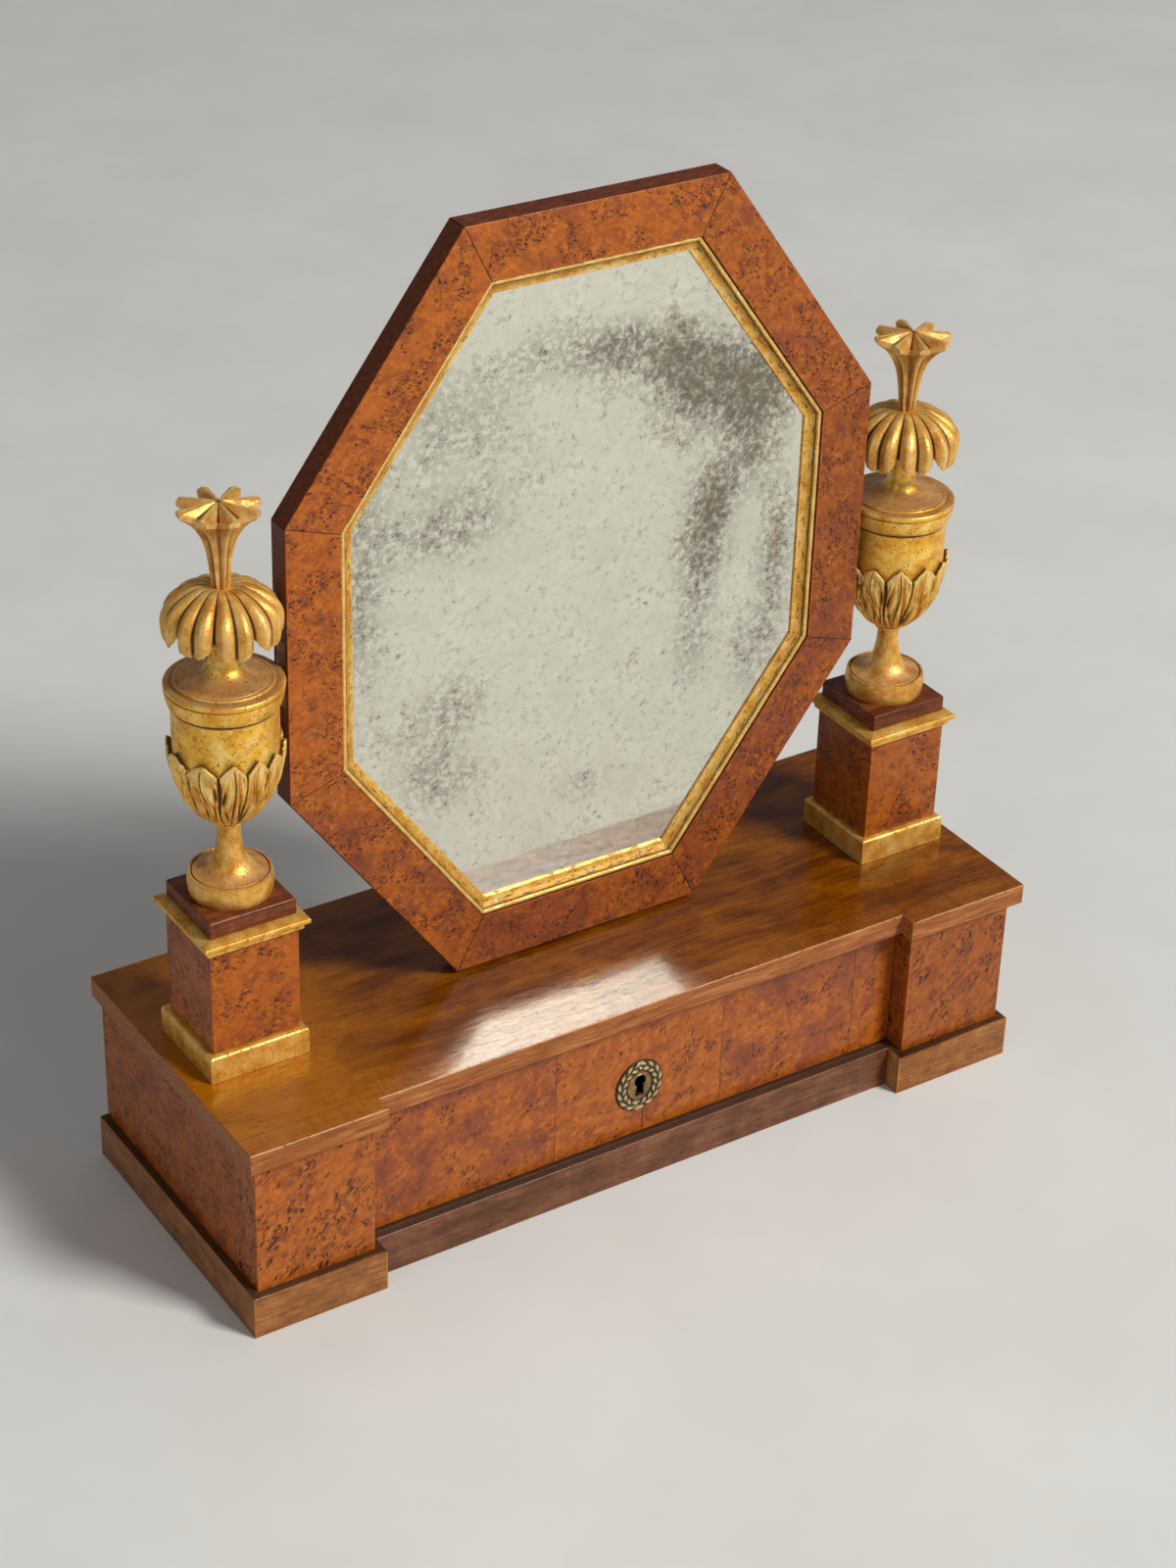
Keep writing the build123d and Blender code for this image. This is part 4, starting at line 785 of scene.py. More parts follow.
plain_brass = brass("plain_brass", 0.4)
for node in ("lock_case", "lock_bolt", "left_pivot_plate", "right_pivot_plate"):
    eased(node, 0.2, plain_brass)
for node in ("left_pivot_pin", "right_pivot_pin"):
    dress(frame["nodes"][node], plain_brass)

# %% [markdown]
# ## Surfaces from formulas
# The urns are carved and turned, so their shapes are formulas of two parameters. A Skin
# collects grids of points, joins them into closed surfaces and keeps the numbers that the
# finishes read. Rows that go up the outside, with columns anticlockwise, face outwards.

# %% A skin over grids of points


class Skin:
    """Points, faces and marks of one piece, added grid by grid."""

    def __init__(self):
        self.points, self.faces, self.marks, self.count = [], [], {"hollow": [], "ridge": []}, 0

    def grid(self, points, hollow=0.0, ridge=0.0, around=True, joined=False):
        """A rows by columns grid of points. around joins its last column to its first. The ends of
        such a tube get flat lids, unless joined makes it a ring."""
        shape = points.shape[:2]
        index = self.count + np.arange(np.prod(shape)).reshape(shape)
        self.count += index.size
        self.points.append(points.reshape(-1, 3))
        for name, value in (("hollow", hollow), ("ridge", ridge)):
            self.marks[name].append(np.broadcast_to(value, shape).ravel())
        corners = np.concatenate([index, index[:, :1]], 1) if around else index
        if joined:
            corners = np.concatenate([corners, corners[:1]])
        quads = [corners[:-1, :-1], corners[:-1, 1:], corners[1:, 1:], corners[1:, :-1]]
        self.faces += np.stack(quads, -1).reshape(-1, 4).tolist()
        if around and not joined:
            self.faces += [index[0, ::-1].tolist(), index[-1].tolist()]

    def piece(self, name, sharp=35):
        """The object, smooth but for edges that turn by more than a number of degrees."""
        mesh = bpy.data.meshes.new(name)
        mesh.from_pydata(np.concatenate(self.points) * MM, [], self.faces)
        for mark, values in self.marks.items():
            attribute = mesh.attributes.new(mark, "FLOAT", "POINT")
            attribute.data.foreach_set("value", np.concatenate(values).astype(np.float32))
        mesh.shade_smooth()
        mesh.set_sharp_from_angle(angle=math.radians(sharp))
        piece = bpy.data.objects.new(name, mesh)
        bpy.context.scene.collection.objects.link(piece)
        print(name, "points", self.count, "faces", len(self.faces))
        return piece


def tube(name, points, hollow, ridge=0.0, joined=False, sharp=35):
    """A piece made of one grid that goes round."""
    skin = Skin()
    skin.grid(points, hollow, ridge, joined=joined)
    return skin.piece(name, sharp)


def ring(x, turn, radius, height):
    """Points at a radius and a height, round an upright axis that stands at x."""
    return np.stack(np.broadcast_arrays(x + radius * np.cos(turn), radius * np.sin(turn), height), -1)


def soft(value, low, high):
    """0 to 1 between two limits, with a smooth start and end: 3 t squared less 2 t cubed."""
    t = np.clip((value - low) / (high - low), 0, 1)
    return t * t * (3 - 2 * t)


def peak(value, middle, width):
    """A smooth hill: e to the power of minus the squared distance over the squared width."""
    return np.exp(-((value - middle) / width) ** 2)


def bend(start, end, leave, arrive, steps):
    """Cubic curve between two points that sets off along one vector and comes in along another."""
    t = np.linspace(0, 1, steps)[:, None]
    start, end, leave, arrive = map(np.array, (start, end, leave, arrive))
    return ((2 * t - 3) * t * t + 1) * start + ((t - 2) * t + 1) * t * leave \
        + (3 - 2 * t) * t * t * end + (t - 1) * t * t * arrive


# %% [markdown]
# ## Turned parts of the urns
# Foot, bowl and lid come off a lathe: a profile of radii and heights carried round the
# axis. Most corners of the profile are two points close together, so that they are eased as
# on turned wood that has been gessoed. The radii are read from the CAD nodes.

# %% Foot, bowl and lid

TURNED_COLUMNS = 144


def turned(strips, x, z, name):
    """Turns a profile round an upright axis. Each strip of it is how dark it is made, for dirt and painted
    shade, then radii and heights.
    """
    profile = np.array([(*point, dirt_and_shade) for dirt_and_shade, points in strips for point in points])
    turn = np.linspace(0, 2 * np.pi, TURNED_COLUMNS, endpoint=False)
    radius, height, dirt_and_shade = profile[:, :1], profile[:, 1:2], profile[:, 2:]
    wobble = 0.05 * np.sin(3 * turn + height * 0.2) + 0.04 * np.sin(7 * turn - height * 0.5)
    return tube(name, ring(x, turn, radius + wobble * (radius > 1), z + height), dirt_and_shade)


def measure(node):
    """Middle across and radius of a node in millimetres."""
    low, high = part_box(node)
    return (low.x + high.x) / 2 / MM, (high.y - low.y) / 2 / MM


DISC, STEM, FOOT_HEIGHT = 14.2, 6.6, 45.8      # the disc's height, the stem's radius, the whole


def foot_profile(radius):
    """A thick disc with a lip and a groove, then a sweep up to the stem."""
    side = [(radius - 1.2 * (2 * t - 1.1) ** 2, DISC * t * 0.95) for t in np.linspace(0, 1, 12)]
    lip = [(radius - 0.9, DISC - 0.25), (radius - 1.4, DISC), (radius - 2.2, DISC - 0.05)]
    groove = [(radius - 2.5, DISC - 0.5), (radius - 2.7, DISC - 0.9), (radius - 3.0, DISC - 0.6)]
    sweep = bend((radius - 3.3, DISC - 0.1), (STEM, FOOT_HEIGHT), (-40, 0), (0, 44), 40)
    # dirt and painted shade: the groove is darkened
    return [(0, side), (0, lip), (0.9, groove), (0, sweep)]


SWELL, BOWL_START, BOWL_HEIGHT = 50.0, 6.0, 78.8     # the ellipse's half height, its first radius
RING_RADIUS, RING = 9.2, 2.2                         # the ring under the bowl, and its thickness


def bowl_radius(rise, widest):
    """Ellipse: the widest radius times the root of one less the squared share of the drop below it."""
    centre = SWELL * math.sqrt(1 - (BOWL_START / widest) ** 2)
    return widest * np.sqrt(1 - (np.maximum(centre - rise, 0) / SWELL) ** 2)


def bowl_profile(radius):
    """A small ring, then the wall, darkened up under the lid by dirt and a painted shadow of the collar.
    """
    turn = np.linspace(-np.pi / 2, np.pi / 2, 10)
    foot = [(RING_RADIUS - RING / 2 * (1 - math.cos(a)), RING / 2 * (1 + math.sin(a))) for a in turn]
    rise = np.linspace(0, BOWL_HEIGHT - RING, 60)
    # painted shadow and dirt: the top of the wall, under the lid's collar, is darkened
    dirt_and_shade = 0.9 * soft(RING + rise, BOWL_HEIGHT - 3.0, BOWL_HEIGHT - 0.5)
    wall = zip(dirt_and_shade, bowl_radius(rise, radius), RING + rise)
    return [(0, foot)] + [(depth, [(r, h)]) for depth, r, h in wall]


COLLAR, LID, NECK, TOP_DISC = 13.7, 62.0, 8.4, 29.0  # two heights and two radii


def lid_profile(radius):
    """Band, line and bead of the collar, a ledge, the flat disc with a line in it, and the neck."""
    side = [(radius - 2.0 * (1 - t) ** 1.6 - 0.35, 0.4 + (COLLAR - 4.6) * t)
            for t in np.linspace(0, 1, 10)]
    line = [(radius - 0.75, COLLAR - 4.0), (radius - 0.75, COLLAR - 3.8)]
    bead = [(radius - 1.5 + 1.5 * math.cos(a), COLLAR - 1.85 + 1.85 * math.sin(a))
            for a in np.linspace(-0.8, 1.45, 10)]
    corner = [(TOP_DISC + 0.9, COLLAR), (TOP_DISC + 0.1, COLLAR - 0.1)]
    rim = [(TOP_DISC - 0.8 + 0.8 * math.cos(a), COLLAR + 0.8 + 0.8 * math.sin(a))
           for a in np.linspace(0.0, np.pi / 2, 6)]
    sweep = bend((TOP_DISC - 3.4, COLLAR + 1.75), (NECK, COLLAR + 16), (-40, 3), (0, 24), 36)
    neck = [(NECK, h) for h in np.linspace(COLLAR + 18, LID, 8)]
    # The first number of each strip darkens it, for dirt and painted shade: most at the collar's lower
    # edge, in the lines, and on the neck up under the canopy.
    return [(0.8, [(radius - 2.9, 0.0)]), (0, side), (0.6, line), (0, bead), (0.45, corner),
            (0.2, rim[:1]), (0, rim[1:]), (0, [(TOP_DISC - 2.4, COLLAR + 1.6)]),
            (0.35, [(TOP_DISC - 2.7, COLLAR + 1.25)]), (0, [(TOP_DISC - 3.0, COLLAR + 1.6)]),
            (0, sweep), (0, neck[:3]), (0.7, neck[3:])]


urn_gold = gilding("urn_gilding", (0, 0, 0), 0.0, 0.9, tops=0.85)
urn_brown = gilding("urn_bronze_gilding", (4, 2, 0), 0.5, 0.5, tops=0.4)
urn_parts = (("foot", foot_profile, 0.0, urn_brown), ("bowl", bowl_profile, FOOT_HEIGHT, urn_gold),
             ("lid", lid_profile, FOOT_HEIGHT + BOWL_HEIGHT, urn_gold))
for side in ("left", "right"):
    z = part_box(f"{side}_pedestal_cap")[1].z / MM
    for member, profile, rise, gilt in urn_parts:
        node = f"{side}_urn_{member}"
        x, radius = measure(node)
        piece = turned(profile(radius), x, z + rise, f"turned_{side}_{member}")
        finish_piece(piece, node, gilt)

# %% [markdown]
# ## Leaf calyx
# Twelve acanthus leaves clasp the bowl. One surface carries them all: its columns go round
# the bowl and its rows from the ring up to the leaves' edge. A leaf has a raised rib on each
# side of its midrib, a swelling in each half with a wandering furrow in it and a raised
# border, and it drops to a deep line where it meets the next one.

# %% Carve the leaves

LEAVES, NOTCH_RISE, TIP_RISE = 12, 43.6, 51.6


def leaf_height(place, share, leaf):
    """Height above the bowl, in millimetres, at a place from -1 to 1 across and 0 to 1 up a leaf."""
    aside = np.abs(place)
    phase = 2.4 * leaf + 1.9 * (place > 0)
    growth = 0.6 + 0.4 * np.sin(np.pi / 2 * share)
    halves = (1.9 + 0.4 * np.sin(3.1 * phase)) * np.maximum(1 - ((aside - 0.5) / 0.5) ** 2, 0) * growth
    ribs = (1.7 - 0.4 * share) * peak(aside, 0.10, 0.07) - 0.4 * peak(aside, 0.0, 0.05)
    bending = 0.5 + 0.25 * np.sin(2 * np.pi * 0.95 * share + phase)
    furrow = -2.0 * peak(aside, bending, 0.11) * soft(share, 0.05, 0.25)
    furrow = furrow * (1 - 0.5 * soft(share, 0.7, 0.95))
    second = -0.9 * peak(aside, bending + 0.3, 0.06) * soft(share, 0.3, 0.55)
    lumps = 0.65 * np.sin(2 * np.pi * (2.3 * share + 0.9 * aside) + 2.1 * phase)
    lumps = lumps * soft(share, 0.15, 0.4) * np.sin(np.pi * aside)
    border = 0.5 * peak(aside, 0.88, 0.06) * soft(share, 0.4, 0.85) + 0.9 * peak(share, 0.965, 0.03)
    valley = -1.7 * peak(aside, 1.0, 0.07)
    curl = 2.0 * share ** 5 * (1 - 0.6 * aside)
    height = 0.65 + halves + ribs * growth + furrow + second + lumps + border + valley + curl
    return np.clip(height, 0.1, 3.3)


def calyx(x, z, widest, uneven, name):
    """Calyx of a bowl. uneven is by how many degrees the leaves crowd or spread."""
    columns_per_leaf, rows = 34, 48
    column = np.arange(LEAVES * columns_per_leaf)
    leaf = column // columns_per_leaf
    place = (column % columns_per_leaf) / columns_per_leaf * 2 - 1
    turn = column / columns_per_leaf * 2 * np.pi / LEAVES + np.pi / LEAVES
    turn = turn + math.radians(uneven) * (0.4 + 0.6 * np.cos(2 * (turn - math.radians(235))))
    share = np.linspace(0, 1, rows)[:, None]
    aside = np.abs(place)
    lean = 0.05 * np.sin(2.3 * leaf + 1.0) * (1 - aside ** 3) * np.sin(2 * np.pi * share)
    sway = 0.045 * np.sin(np.pi * (share + 0.35)) * np.cos(np.pi * place) * np.sin(np.pi * share)
    turn = turn + lean + sway
    edge = TIP_RISE - (TIP_RISE - NOTCH_RISE) * aside ** 1.5 + 0.8 * np.sin(1.9 * leaf) * (1 - aside)
    edge = edge + 0.35 * np.sin(3 * np.pi * place + leaf) * (1 - aside)
    rise = share * edge
    height = leaf_height(place[None], share, leaf)

    def skin_at(turn, rise, height):
        return ring(x, turn, bowl_radius(rise, widest) + height, z + rise)

    back = height[-1:] - np.array([[0.35], [1.3], [2.4]])
    lip = skin_at(turn[-1:], rise[-1:] + np.array([[0.5], [0.5], [-0.3]]), back)
    root = skin_at(turn[[-7, 0]], np.array([[0.86], [0.0]]) * edge, -1.0)
    points = np.concatenate([skin_at(turn, rise, height), lip, root])
    # dirt and painted shade: the low parts, the valleys between leaves and the midrib are darkened, and
    # most of all the lip's back and the root, in the leaves' shade
    dirt_and_shade = np.clip(1.0 - height / 1.15, 0, 1) + 0.9 * peak(aside, 1.0, 0.09) + 0.5 * peak(aside, 0.0, 0.04)
    under = np.array([[0.3], [0.75], [0.95], [0.95], [0.95]]) + 0 * place
    # wear and painted highlight: the leaves' high parts are marked to be lightened
    worn = np.pad(soft(height, 1.9, 2.9), ((0, len(under)), (0, 0)))
    hollow = np.concatenate([np.clip(dirt_and_shade, 0, 1), under])
    return tube(name, points, hollow, worn, joined=True, sharp=60)


leaf_gold = gilding("leaf_gilding", (1, 5, 0), 0.22, 0.6)
for side, uneven in (("left", 10.0), ("right", -1.5)):
    x, widest = measure(f"{side}_urn_bowl")
    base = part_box(f"{side}_pedestal_cap")[1].z / MM + FOOT_HEIGHT + RING
    piece = calyx(x, base, widest, uneven, f"carved_{side}_calyx")
    finish_piece(piece, f"{side}_leaf_calyx", leaf_gold)

# %% [markdown]
# ## Palm canopy
# Eight fronds droop from the crown like an umbrella. Each is two smooth convex petals with a
# sharp line between them, and its lower edge is one long round tip notched by small teeth.
# Rings of a dome make the surface: the edge's angle from the crown varies round it, and the
# petals swell between the grooves.

# %% Carve the canopy

FRONDS, DOME, HUB = 8, 22.0, 5.4             # the dome's half height, and the crown's small hub
CROWN_DIP, SEAT_DROP = 1.8, 11.5             # how far the hub is sunk, and how far the neck reaches in


def frond_edge(aside):
    """Angle from the crown at which a frond ends, for a distance of 0 to 1 from its midrib."""
    outline = 91 + 28 * (1 - aside ** 2.3) - 4 * peak(aside, 0.0, 0.07)
    teeth = 2.6 * np.abs(np.sin(np.pi * aside * 4.5)) ** 0.6
    return np.radians(outline + teeth)


def canopy(x, finial_base, radius, turned, name):
    """Canopy over an urn: a dome to its widest ring, from which the fronds hang nearly straight."""
    per_frond, rows = 44, 46
    column = np.arange(FRONDS * per_frond)
    across = (column % per_frond) / per_frond * 2 - 1
    aside = np.abs(across)
    frond = column // per_frond
    turn = (column / per_frond + 0.5) * 2 * np.pi / FRONDS + turned
    hub_angle = math.atan2(HUB, radius)
    middle = finial_base - DOME * math.cos(hub_angle)
    share = np.linspace(0, 1, rows)[:, None]
    uneven = np.radians(3.0) * np.sin(2.7 * frond + 0.9 * turned) * (1 - aside ** 2)
    angle = hub_angle + share * (frond_edge(aside) + uneven - hub_angle)
    petal = np.abs(2 * aside - 1)
    bulge = 1 - petal ** 1.8
    depth = np.where(aside > 0.5, 6.0, 4.0)
    groove = depth * (1 - bulge) * np.sin(np.minimum(angle, np.pi / 2)) ** 0.7
    groove = groove * (1 - 0.35 * soft(angle, np.pi / 2, np.radians(125)))
    ribs = 0.09 * np.cos(2 * np.pi * 5 * aside) * soft(share, 0.2, 0.6) * bulge

    def dome(angle):
        """Radius of the plain dome, which hangs straight below its widest ring."""
        return radius * np.sin(np.minimum(angle, np.pi / 2))

    def skin_at(angle, groove, inwards=0.0):
        hang = np.maximum(angle - np.pi / 2, 0) / np.radians(30)
        dip = CROWN_DIP * (1 - soft(angle, hub_angle, hub_angle + 0.35))
        height = middle + DOME * np.cos(angle) - 0.3 * inwards - dip
        return ring(x, turn, dome(angle) - groove - 1.7 * hang ** 2 - inwards, height)

    outer = skin_at(angle, np.minimum(groove - ribs, dome(angle) - 4.6))
    under_angle = hub_angle + np.array([[0.99], [0.9], [0.72], [0.5]]) * (angle[-1:] - hub_angle)
    under = skin_at(under_angle, groove[-1:] * 0.8, np.array([[1.2], [2.3], [3.4], [4.0]]))
    seat = ring(x, turn, NECK, finial_base - SEAT_DROP)[None]
    points = np.concatenate([outer, under, seat])
    inside = ((0, len(points) - rows), (0, 0))
    # dirt and painted shade: the grooves between petals are darkened, and the whole underside and seat,
    # under the canopy, still more
    hollow = np.pad(soft(petal, 0.7, 1.0) * soft(share, 0.0, 0.1), inside, constant_values=0.75)
    # wear and painted highlight: the petals' crests and the lower edge are marked to be lightened
    worn = np.clip(soft(bulge, 0.8, 1.0) * soft(share, 0.2, 0.8), 0, 1)
    worn = np.pad(np.maximum(worn * 0.6, soft(share, 0.97, 1.0)), inside)
    return tube(name, points[::-1], hollow[::-1], worn[::-1], sharp=50)


petal_gold = gilding("petal_gilding", (2, 7, 3), 0.55, 0.35)
for side, turned_by in (("left", math.radians(-13.0)), ("right", math.pi / FRONDS)):
    node = f"{side}_palm_canopy"
    x, radius = measure("left_palm_canopy")
    x = x if side == "left" else -x
    piece = canopy(x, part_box(node)[1].z / MM, radius + 0.4, turned_by, f"carved_{side}_canopy")
    finish_piece(piece, node, petal_gold)

# %% [markdown]
# ## Star finial
# A fluted stem flares like a trumpet into a star of eight blunt rays. Seen from above the
# star is eight roofs whose ridges meet in the middle, with deep valleys between them. The
# plan outline is straight lines between the corners of the blunt ends and the valleys.

# %% Carve the star

# VALLEY is the plan's radius between two rays, and the drops are how far below the middle
# the valleys and the rays' corners lie
RAYS, VALLEY, TIP_WIDTH, STAR_THICK = 8, 14.0, 6.4, 4.4
VALLEY_DROP, CORNER_DROP, CENTRE_RISE, FLARE, STEM_SPREAD = 4.4, 1.4, 2.0, 4.8, 4.6
STEM_GROOVE, STEM_FLUTE = 4.2, 4.7       # radii at the stem's foot
WIDER, HIGHER, LET_IN = 0.7, 0.6, 0.6    # than the solid's star, and how far the stem's foot is let in


def star_outline(turn, radius):
    """Radius of the star's plan in a direction: the nearer of the blunt end and the flank."""
    cx, cy = radius, TIP_WIDTH / 2
    vx, vy = VALLEY * math.cos(math.pi / RAYS), VALLEY * math.sin(math.pi / RAYS)
    flank = (cx * vy - cy * vx) / ((vy - cy) * np.cos(turn) - (vx - cx) * np.sin(turn))
    return np.where(turn < math.atan2(cy, cx), radius / np.cos(turn), flank)


def star(x, base, top, radius, turned, name):
    """Stem and star. A ray's top is two gentle planes off its ridge, then two steep ones to the
    valleys."""
    half = math.atan2(TIP_WIDTH / 2, radius)
    pitch = 2 * math.pi / RAYS
    aside = np.concatenate([np.linspace(0, half, 6), np.linspace(half * 1.08, pitch / 2, 12)])
    local = np.concatenate([-aside[:0:-1], aside[:-1]])
    turn = (np.arange(RAYS)[:, None] * pitch + local[None]).ravel() + turned
    off = np.abs(np.tile(local, RAYS))
    plan = star_outline(off, radius)
    tall = top - CENTRE_RISE - STAR_THICK - base

    def flared(share, foot, mouth):
        return foot + STEM_SPREAD * share + (mouth - foot - STEM_SPREAD) * share ** FLARE

    def face(r):
        """The lower of the plane through ridge and corner and the plane through corner and valley."""
        along, across = r * np.cos(off), r * np.sin(off)
        corner = (radius, TIP_WIDTH / 2)
        valley = (VALLEY * math.cos(pitch / 2), VALLEY * math.sin(pitch / 2))
        drops = [-CENTRE_RISE - CORNER_DROP, -CENTRE_RISE - VALLEY_DROP]
        steep = np.linalg.solve([corner, valley], drops)
        gentle = -CENTRE_RISE / radius * along - CORNER_DROP / (TIP_WIDTH / 2) * across
        return top + np.minimum(gentle, steep[0] * along + steep[1] * across)

    shape = (plan - VALLEY) / (radius / math.cos(half) - VALLEY)
    share = np.linspace(0, 1, 40)[:, None]
    flute = 0.7 * peak(off, 0.0, 0.075) * (1 - soft(share, 0.75, 1.0)) * soft(share, 0.0, 0.06)
    flute = flute - 0.35 * peak(off, pitch / 2, 0.12) * (1 - soft(share, 0.7, 0.95))
    thin = flared(share, STEM_GROOVE, VALLEY)
    stem_r = thin + shape * (flared(share, STEM_FLUTE, plan) - thin) + flute
    stem_z = base + share * tall - VALLEY_DROP * share ** FLARE * (1 - shape)
    side = np.array([[0.08], [0.5], [0.92]])
    side_z = stem_z[-1:] + side * (face(plan)[None] - stem_z[-1:])
    out = np.linspace(1, 0.03, 22)[:, None]
    sunk = 0.3 * soft(out, 0.94, 1.0) + 1.1 * peak(out * plan, 0.0, 1.8)
    points = np.concatenate([
        ring(x, turn, stem_r, stem_z), ring(x, turn, plan + 0.3 * np.sin(side * np.pi), side_z),
        ring(x, turn, out * plan - 0.25 * soft(out, 0.98, 1.0), face(out * plan) - sunk)])
    on_stem, on_side, on_top = 0 * stem_r, 0 * side_z, 0 * out * plan
    # dirt and painted shade: the stem between its flutes, the valleys and the middle of the star are
    # darkened
    dirt_and_shade = peak(off, pitch / 2, 0.06) * soft(out, 0.05, 0.3) + peak(out * plan, 0.0, 2.0)
    hollow = np.concatenate([0.5 * soft(off, 0.1, 0.35) + on_stem, on_side, dirt_and_shade])
    # wear and painted highlight: the rays' ridges and the star's edge are marked to be lightened
    ridge = np.concatenate([peak(off, 0.0, 0.06) + on_stem, 0.6 + on_side, peak(off, 0.0, 0.05) + on_top])
    return tube(name, points, np.clip(hollow, 0, 1), np.clip(ridge, 0, 1), sharp=24)


star_gold = gilding("star_gilding", (6, 1, 8), 0.7, 0.3)
low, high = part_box("left_star_finial")
star_radius = (high.x - low.x) / 2 / MM
for side, turned_by in (("left", math.radians(-5.5)), ("right", math.radians(26.0))):
    low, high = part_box(f"{side}_star_finial")
    x = (low.x + high.x) / 2 / MM
    base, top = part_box(f"{side}_palm_canopy")[1].z / MM - CROWN_DIP - LET_IN, high.z / MM + HIGHER
    piece = star(x, base, top, star_radius + WIDER, turned_by, f"carved_{side}_star")
    finish_piece(piece, f"{side}_star_finial", star_gold)

# %% [markdown]
# ## Gilt slip
# A narrow gilt moulding lies between the burl and the glass, mitred like the frame: a bead,
# a small step and a hollow down to the glass. The profile is carried along each side of the
# octagon between its corners, and a hair's gap at each mitre draws the joint.

# %% Run the slip round the octagon

MITRE_GAP = 0.14      # a hair


def slip_profile():
    """Inset from the frame's outer edge and depth behind its face: bead, step and hollow."""
    turn = np.linspace(0, np.pi, 12)
    bead = np.stack([36.5 - 1.5 * np.cos(turn), 2.2 - 1.2 * np.sin(turn)], -1)
    step = np.array([(38.05, 2.9), (38.3, 3.1)])
    hollow = bend((38.5, 3.0), (43.6, 5.5), (2.5, 1.9), (5.0, 0.6), 12)
    nose = np.array([(44.2, 5.55), (44.5, 5.8), (44.5, 7.0), (FRAME_WIDTH, 7.0)])
    dirt_and_shade = np.concatenate([np.zeros(12), (1.0, 0.9), np.linspace(0.6, 0.1, 12), (0, 0, 0.3, 0.5)])
    worn = np.concatenate([np.sin(turn) ** 3, (0, 0), np.zeros(12), (0.6, 0.6, 0, 0)])
    return np.concatenate([bead, step, hollow, nose]), dirt_and_shade, worn


def slip():
    profile, dirt_and_shade, worn = slip_profile()
    corners = np.array([octagon(inset) for inset in profile[:, 0]])
    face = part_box("frame_right")[0].y / MM
    skin = Skin()
    for side in range(8):
        start, end = corners[:, side], corners[:, (side + 1) % 8]
        way = (end - start) / np.linalg.norm(end - start, axis=1, keepdims=True)
        start, end = start + MITRE_GAP / 2 * way, end - MITRE_GAP / 2 * way
        share = np.linspace(0, 1, 110)[:, None, None]
        run = start + share * (end - start)
        along = share[..., 0] * np.linalg.norm(end - start, axis=1).max()
        row = np.arange(len(profile))
        streak = np.sin(along / 11.3 + 0.5 * row + side) * np.sin(along / 4.9 - 0.9 * row + 2 * side)
        streak = streak + 0.6 * np.sin(along / 1.7 + 1.3 * row) * np.sin(along / 13.0 + side + 0.8 * row)
        points = np.stack([run[..., 0], face + profile[:, 1] + 0.12 * streak * worn, run[..., 1]], -1)
        # stains in streaks, plus dirt and painted shade in the step and down the hollow
        stain_and_shade = np.clip(0.8 * dirt_and_shade + 0.45 * soft(streak, 0.6, 1.3), 0, 1)
        # wear and painted highlight: the bead's crest and the nose are marked to be lightened
        skin.grid(points, stain_and_shade, np.clip(worn - stain_and_shade, 0, 1))
    return skin.piece("gilt_slip_lengths")


finish_piece(slip(), "gilt_slip", gilding("slip_gilding", (3, 3, 3), 0.35, 1.0))

# %% [markdown]
# ## Escutcheon
# An oval brass plate with a keyhole, a dished middle and a raised wreath of small leaves,
# laid two across in a herringbone that climbs both sides to a point at the top. Columns go
# round and rows go from the keyhole out to the rim, so the hole needs no cutting.

# %% Stamp the escutcheon

HOLE_RADIUS, SLOT_TOP, SLOT_FOOT, SLOT_DROP = 4.2, 2.4, 2.9, 10.6    # two of them half widths
HOLE_LIFT, WREATH = 4.0, 8.2         # the hole above the plate's middle, and the wreath's width
FIELD_ROWS, WREATH_ROWS = 12, 33     # of points, inside the wreath and on it


def keyhole_edge(turn):
    """Distance from the hole's round centre to its edge: a circle, or the flared slot below."""
    across, down = np.cos(turn), -np.sin(turn)
    with np.errstate(divide="ignore", invalid="ignore"):
        to_side = SLOT_TOP / (np.abs(across) - (SLOT_FOOT - SLOT_TOP) / SLOT_DROP * down)
        to_foot = SLOT_DROP / down
    to_side, to_foot = [np.where(reach > 0, reach, np.inf) for reach in (to_side, to_foot)]
    return np.maximum(HOLE_RADIUS, np.where(down > 0, np.minimum(to_side, to_foot), 0))


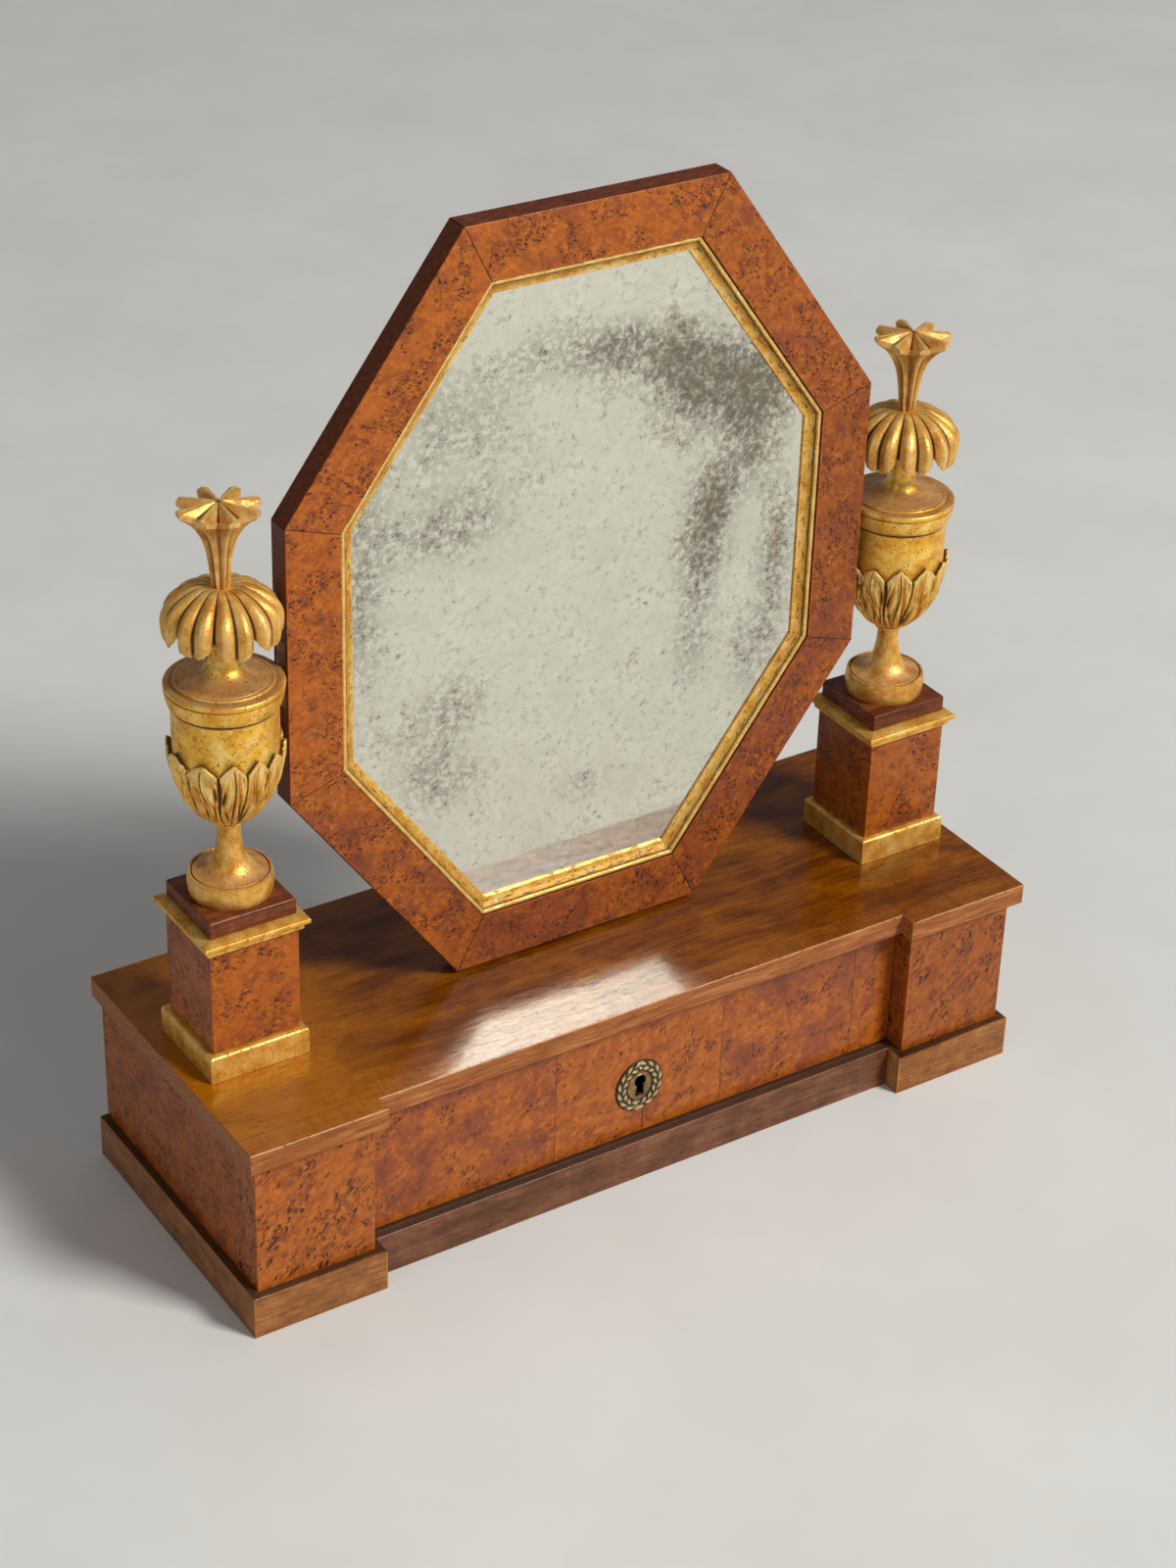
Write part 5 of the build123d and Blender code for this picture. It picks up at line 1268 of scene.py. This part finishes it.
def escutcheon():
    low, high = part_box("escutcheon")
    face, half_x, half_z = high.y / MM, (high.x - low.x) / 2 / MM, (high.z - low.z) / 2 / MM
    middle = (high.z + low.z) / 2 / MM
    slot_corner = math.atan2(-SLOT_DROP, SLOT_FOOT)
    turn = np.sort(np.concatenate([
        np.linspace(0, 2 * np.pi, 330, endpoint=False) - np.pi / 2 + 0.001,
        [slot_corner, -np.pi - slot_corner]]))
    edge = keyhole_edge(turn)
    hole = np.stack([edge * np.cos(turn), HOLE_LIFT + edge * np.sin(turn)], -1)
    around = np.arctan2(np.sin(turn) + HOLE_LIFT / half_z * 0.6, np.cos(turn))
    rim = np.stack([half_x * np.cos(around), half_z * np.sin(around)], -1)
    inner = rim * (1 - WREATH / np.linalg.norm(rim, axis=1, keepdims=True))
    u = np.linspace(0, 1, FIELD_ROWS)[:, None]
    v = np.linspace(0, 1, WREATH_ROWS + 1)[1:, None]
    flat = np.concatenate([hole + u[..., None] * (inner - hole), inner + v[..., None] * (rim - inner)])

    climb = np.abs(around + np.pi / 2)
    climb = np.minimum(climb, 2 * np.pi - climb) * (half_x - WREATH / 2)
    across = (v * 2) % 1.0
    row = np.floor(v * 2 - 1e-6)
    beat = (climb / 5.6 + 0.5 * row - np.abs(v - 0.5) * 7.0 / 5.5) % 1.0
    crown = 0.9 * (1 - (2 * v - 1) ** 2) ** 0.5
    leaf = 1.15 * (1 - np.abs(2 * across - 1) ** 1.8) * (1 - beat ** 2.5) * soft(beat, 0.0, 0.14)
    vein = -0.3 * peak(across, 0.5, 0.1) * (1 - beat)
    wreath = 0.35 + crown * 0.6 + leaf + vein
    on_field, on_back = np.zeros((FIELD_ROWS, len(turn))), np.zeros((2, len(turn)))
    lip = 0.5 * peak(u, 0.0, 0.12) + on_field
    dish = 0.95 - 0.35 * np.sin(u * np.pi)
    height = np.minimum(np.concatenate([dish + lip, wreath]), 2.15)

    across, up = flat[..., 0], middle + flat[..., 1]
    ends = [-1, 0]
    points = np.concatenate([
        np.stack([across, face - height, up], -1),
        np.stack([across[ends], face + on_back, up[ends]], -1)])
    low_leaf = np.clip(1.15 - (wreath - 0.7) / 0.75, 0, 1)
    hollow = np.concatenate([0.25 + 0.5 * soft(u, 0.8, 1.0) + on_field, low_leaf, on_back + 1])
    ridge = np.concatenate([lip, soft(wreath, 1.25, 1.75), on_back])
    return tube("stamped_escutcheon", points[:, ::-1], hollow[:, ::-1], ridge[:, ::-1],
                joined=True, sharp=50)


finish_piece(escutcheon(), "escutcheon", brass("old_brass", 1.0))

# %% [markdown]
# ## Floor and light
# The floor is plain and pale. One soft lamp stands to the right of the camera, as in the
# photograph, with a weak one on the left, and a grey world lifts the shadows. The strengths
# are set so that a white card facing the camera comes out just under white.

# %% Floor


def floor():
    """A large sheet just under the object, pale and slightly uneven in tone."""
    reach, drop = 9000.0, 0.05
    skin = Skin()
    skin.grid(np.array([[(x, y, -drop) for x in (-reach, reach)] for y in (-reach, reach)]), around=False)
    sheet = skin.piece("floor")
    f = Finish("pale_floor")
    at = f.place()
    tone = f.noise(at, 0.05, 4.0, 0.6)
    f.colour = f.ramp(tone, (0.3, (222, 221, 214)), (0.7, (230, 229, 223)))
    sheet.data.materials.append(f.done(specular=0.3, roughness=f.noise(at, 0.4, 5.0) * 0.2 + 0.4))


floor()

# %% Lamps and world

middle = (cad_low + cad_high) / 2


def lamp(name, azimuth, elevation, distance, size, brightness):
    """Square lamp aimed at the object. brightness is what a white card facing it shows."""
    around, up = math.radians(azimuth), math.radians(elevation)
    way = np.array((math.sin(around) * math.cos(up), -math.cos(around) * math.cos(up), math.sin(up)))
    data = bpy.data.lights.new(name, "AREA")
    data.shape, data.size = "SQUARE", size
    data.energy = brightness * math.pi ** 2 * distance ** 2
    holder = bpy.data.objects.new(name, data)
    aside = np.cross((0, 0, 1), way)
    aim = Matrix(np.stack([aside, np.cross(way, aside), way], 1).tolist()).normalized().to_4x4()
    holder.matrix_world = Matrix.Translation(middle) @ aim @ Matrix.Translation((0, 0, distance))
    bpy.context.scene.collection.objects.link(holder)


lamp("key", 30, 40, 8.0, 2.0, 0.95)
lamp("fill", -70, 35, 6.0, 3.2, 0.07)

world = bpy.data.worlds.new("studio")
world.use_nodes = True
background = world.node_tree.nodes["Background"]
background.inputs["Color"].default_value = (0.2, 0.2, 0.21, 1.0)
background.inputs["Strength"].default_value = 1.0
bpy.context.scene.world = world

# %% [markdown]
# ## Camera
# The camera stands in front and to the left, a little above, as the photograph was taken.
# Its place, its turn and its lens were found by fitting the box's corners to the picture.

# %% Camera

yaw, pitch, roll = (math.radians(v) for v in (33.93, -30.74, 2.00))
forward = np.array((math.sin(yaw) * math.cos(pitch), math.cos(yaw) * math.cos(pitch), math.sin(pitch)))
rightward = np.array((math.cos(yaw), -math.sin(yaw), 0.0))
upward = np.cross(rightward, forward)
rolled_right = rightward * math.cos(roll) + upward * math.sin(roll)
rolled_up = upward * math.cos(roll) - rightward * math.sin(roll)
camera_data = bpy.data.cameras.new("camera")
camera = bpy.data.objects.new("camera", camera_data)
bpy.context.scene.collection.objects.link(camera)
turn = Matrix(np.stack([rolled_right, rolled_up, -forward], 1).tolist()).to_4x4()
camera.matrix_world = Matrix.Translation((-0.9440, -1.4286, 1.2750)) @ turn
WIDTH, HEIGHT, FOCAL, AXIS = 1200, 1600, 3351.0, (611.6, 777.0)      # all in the photo's pixels
camera_data.sensor_width = 36.0
camera_data.lens = FOCAL * camera_data.sensor_width / HEIGHT
camera_data.shift_x = (WIDTH / 2 - AXIS[0]) / HEIGHT
camera_data.shift_y = (AXIS[1] - HEIGHT / 2) / HEIGHT
camera_data.clip_start, camera_data.clip_end = 0.05, 50.0
bpy.context.scene.camera = camera
bpy.context.scene.view_settings.view_transform = "Standard"
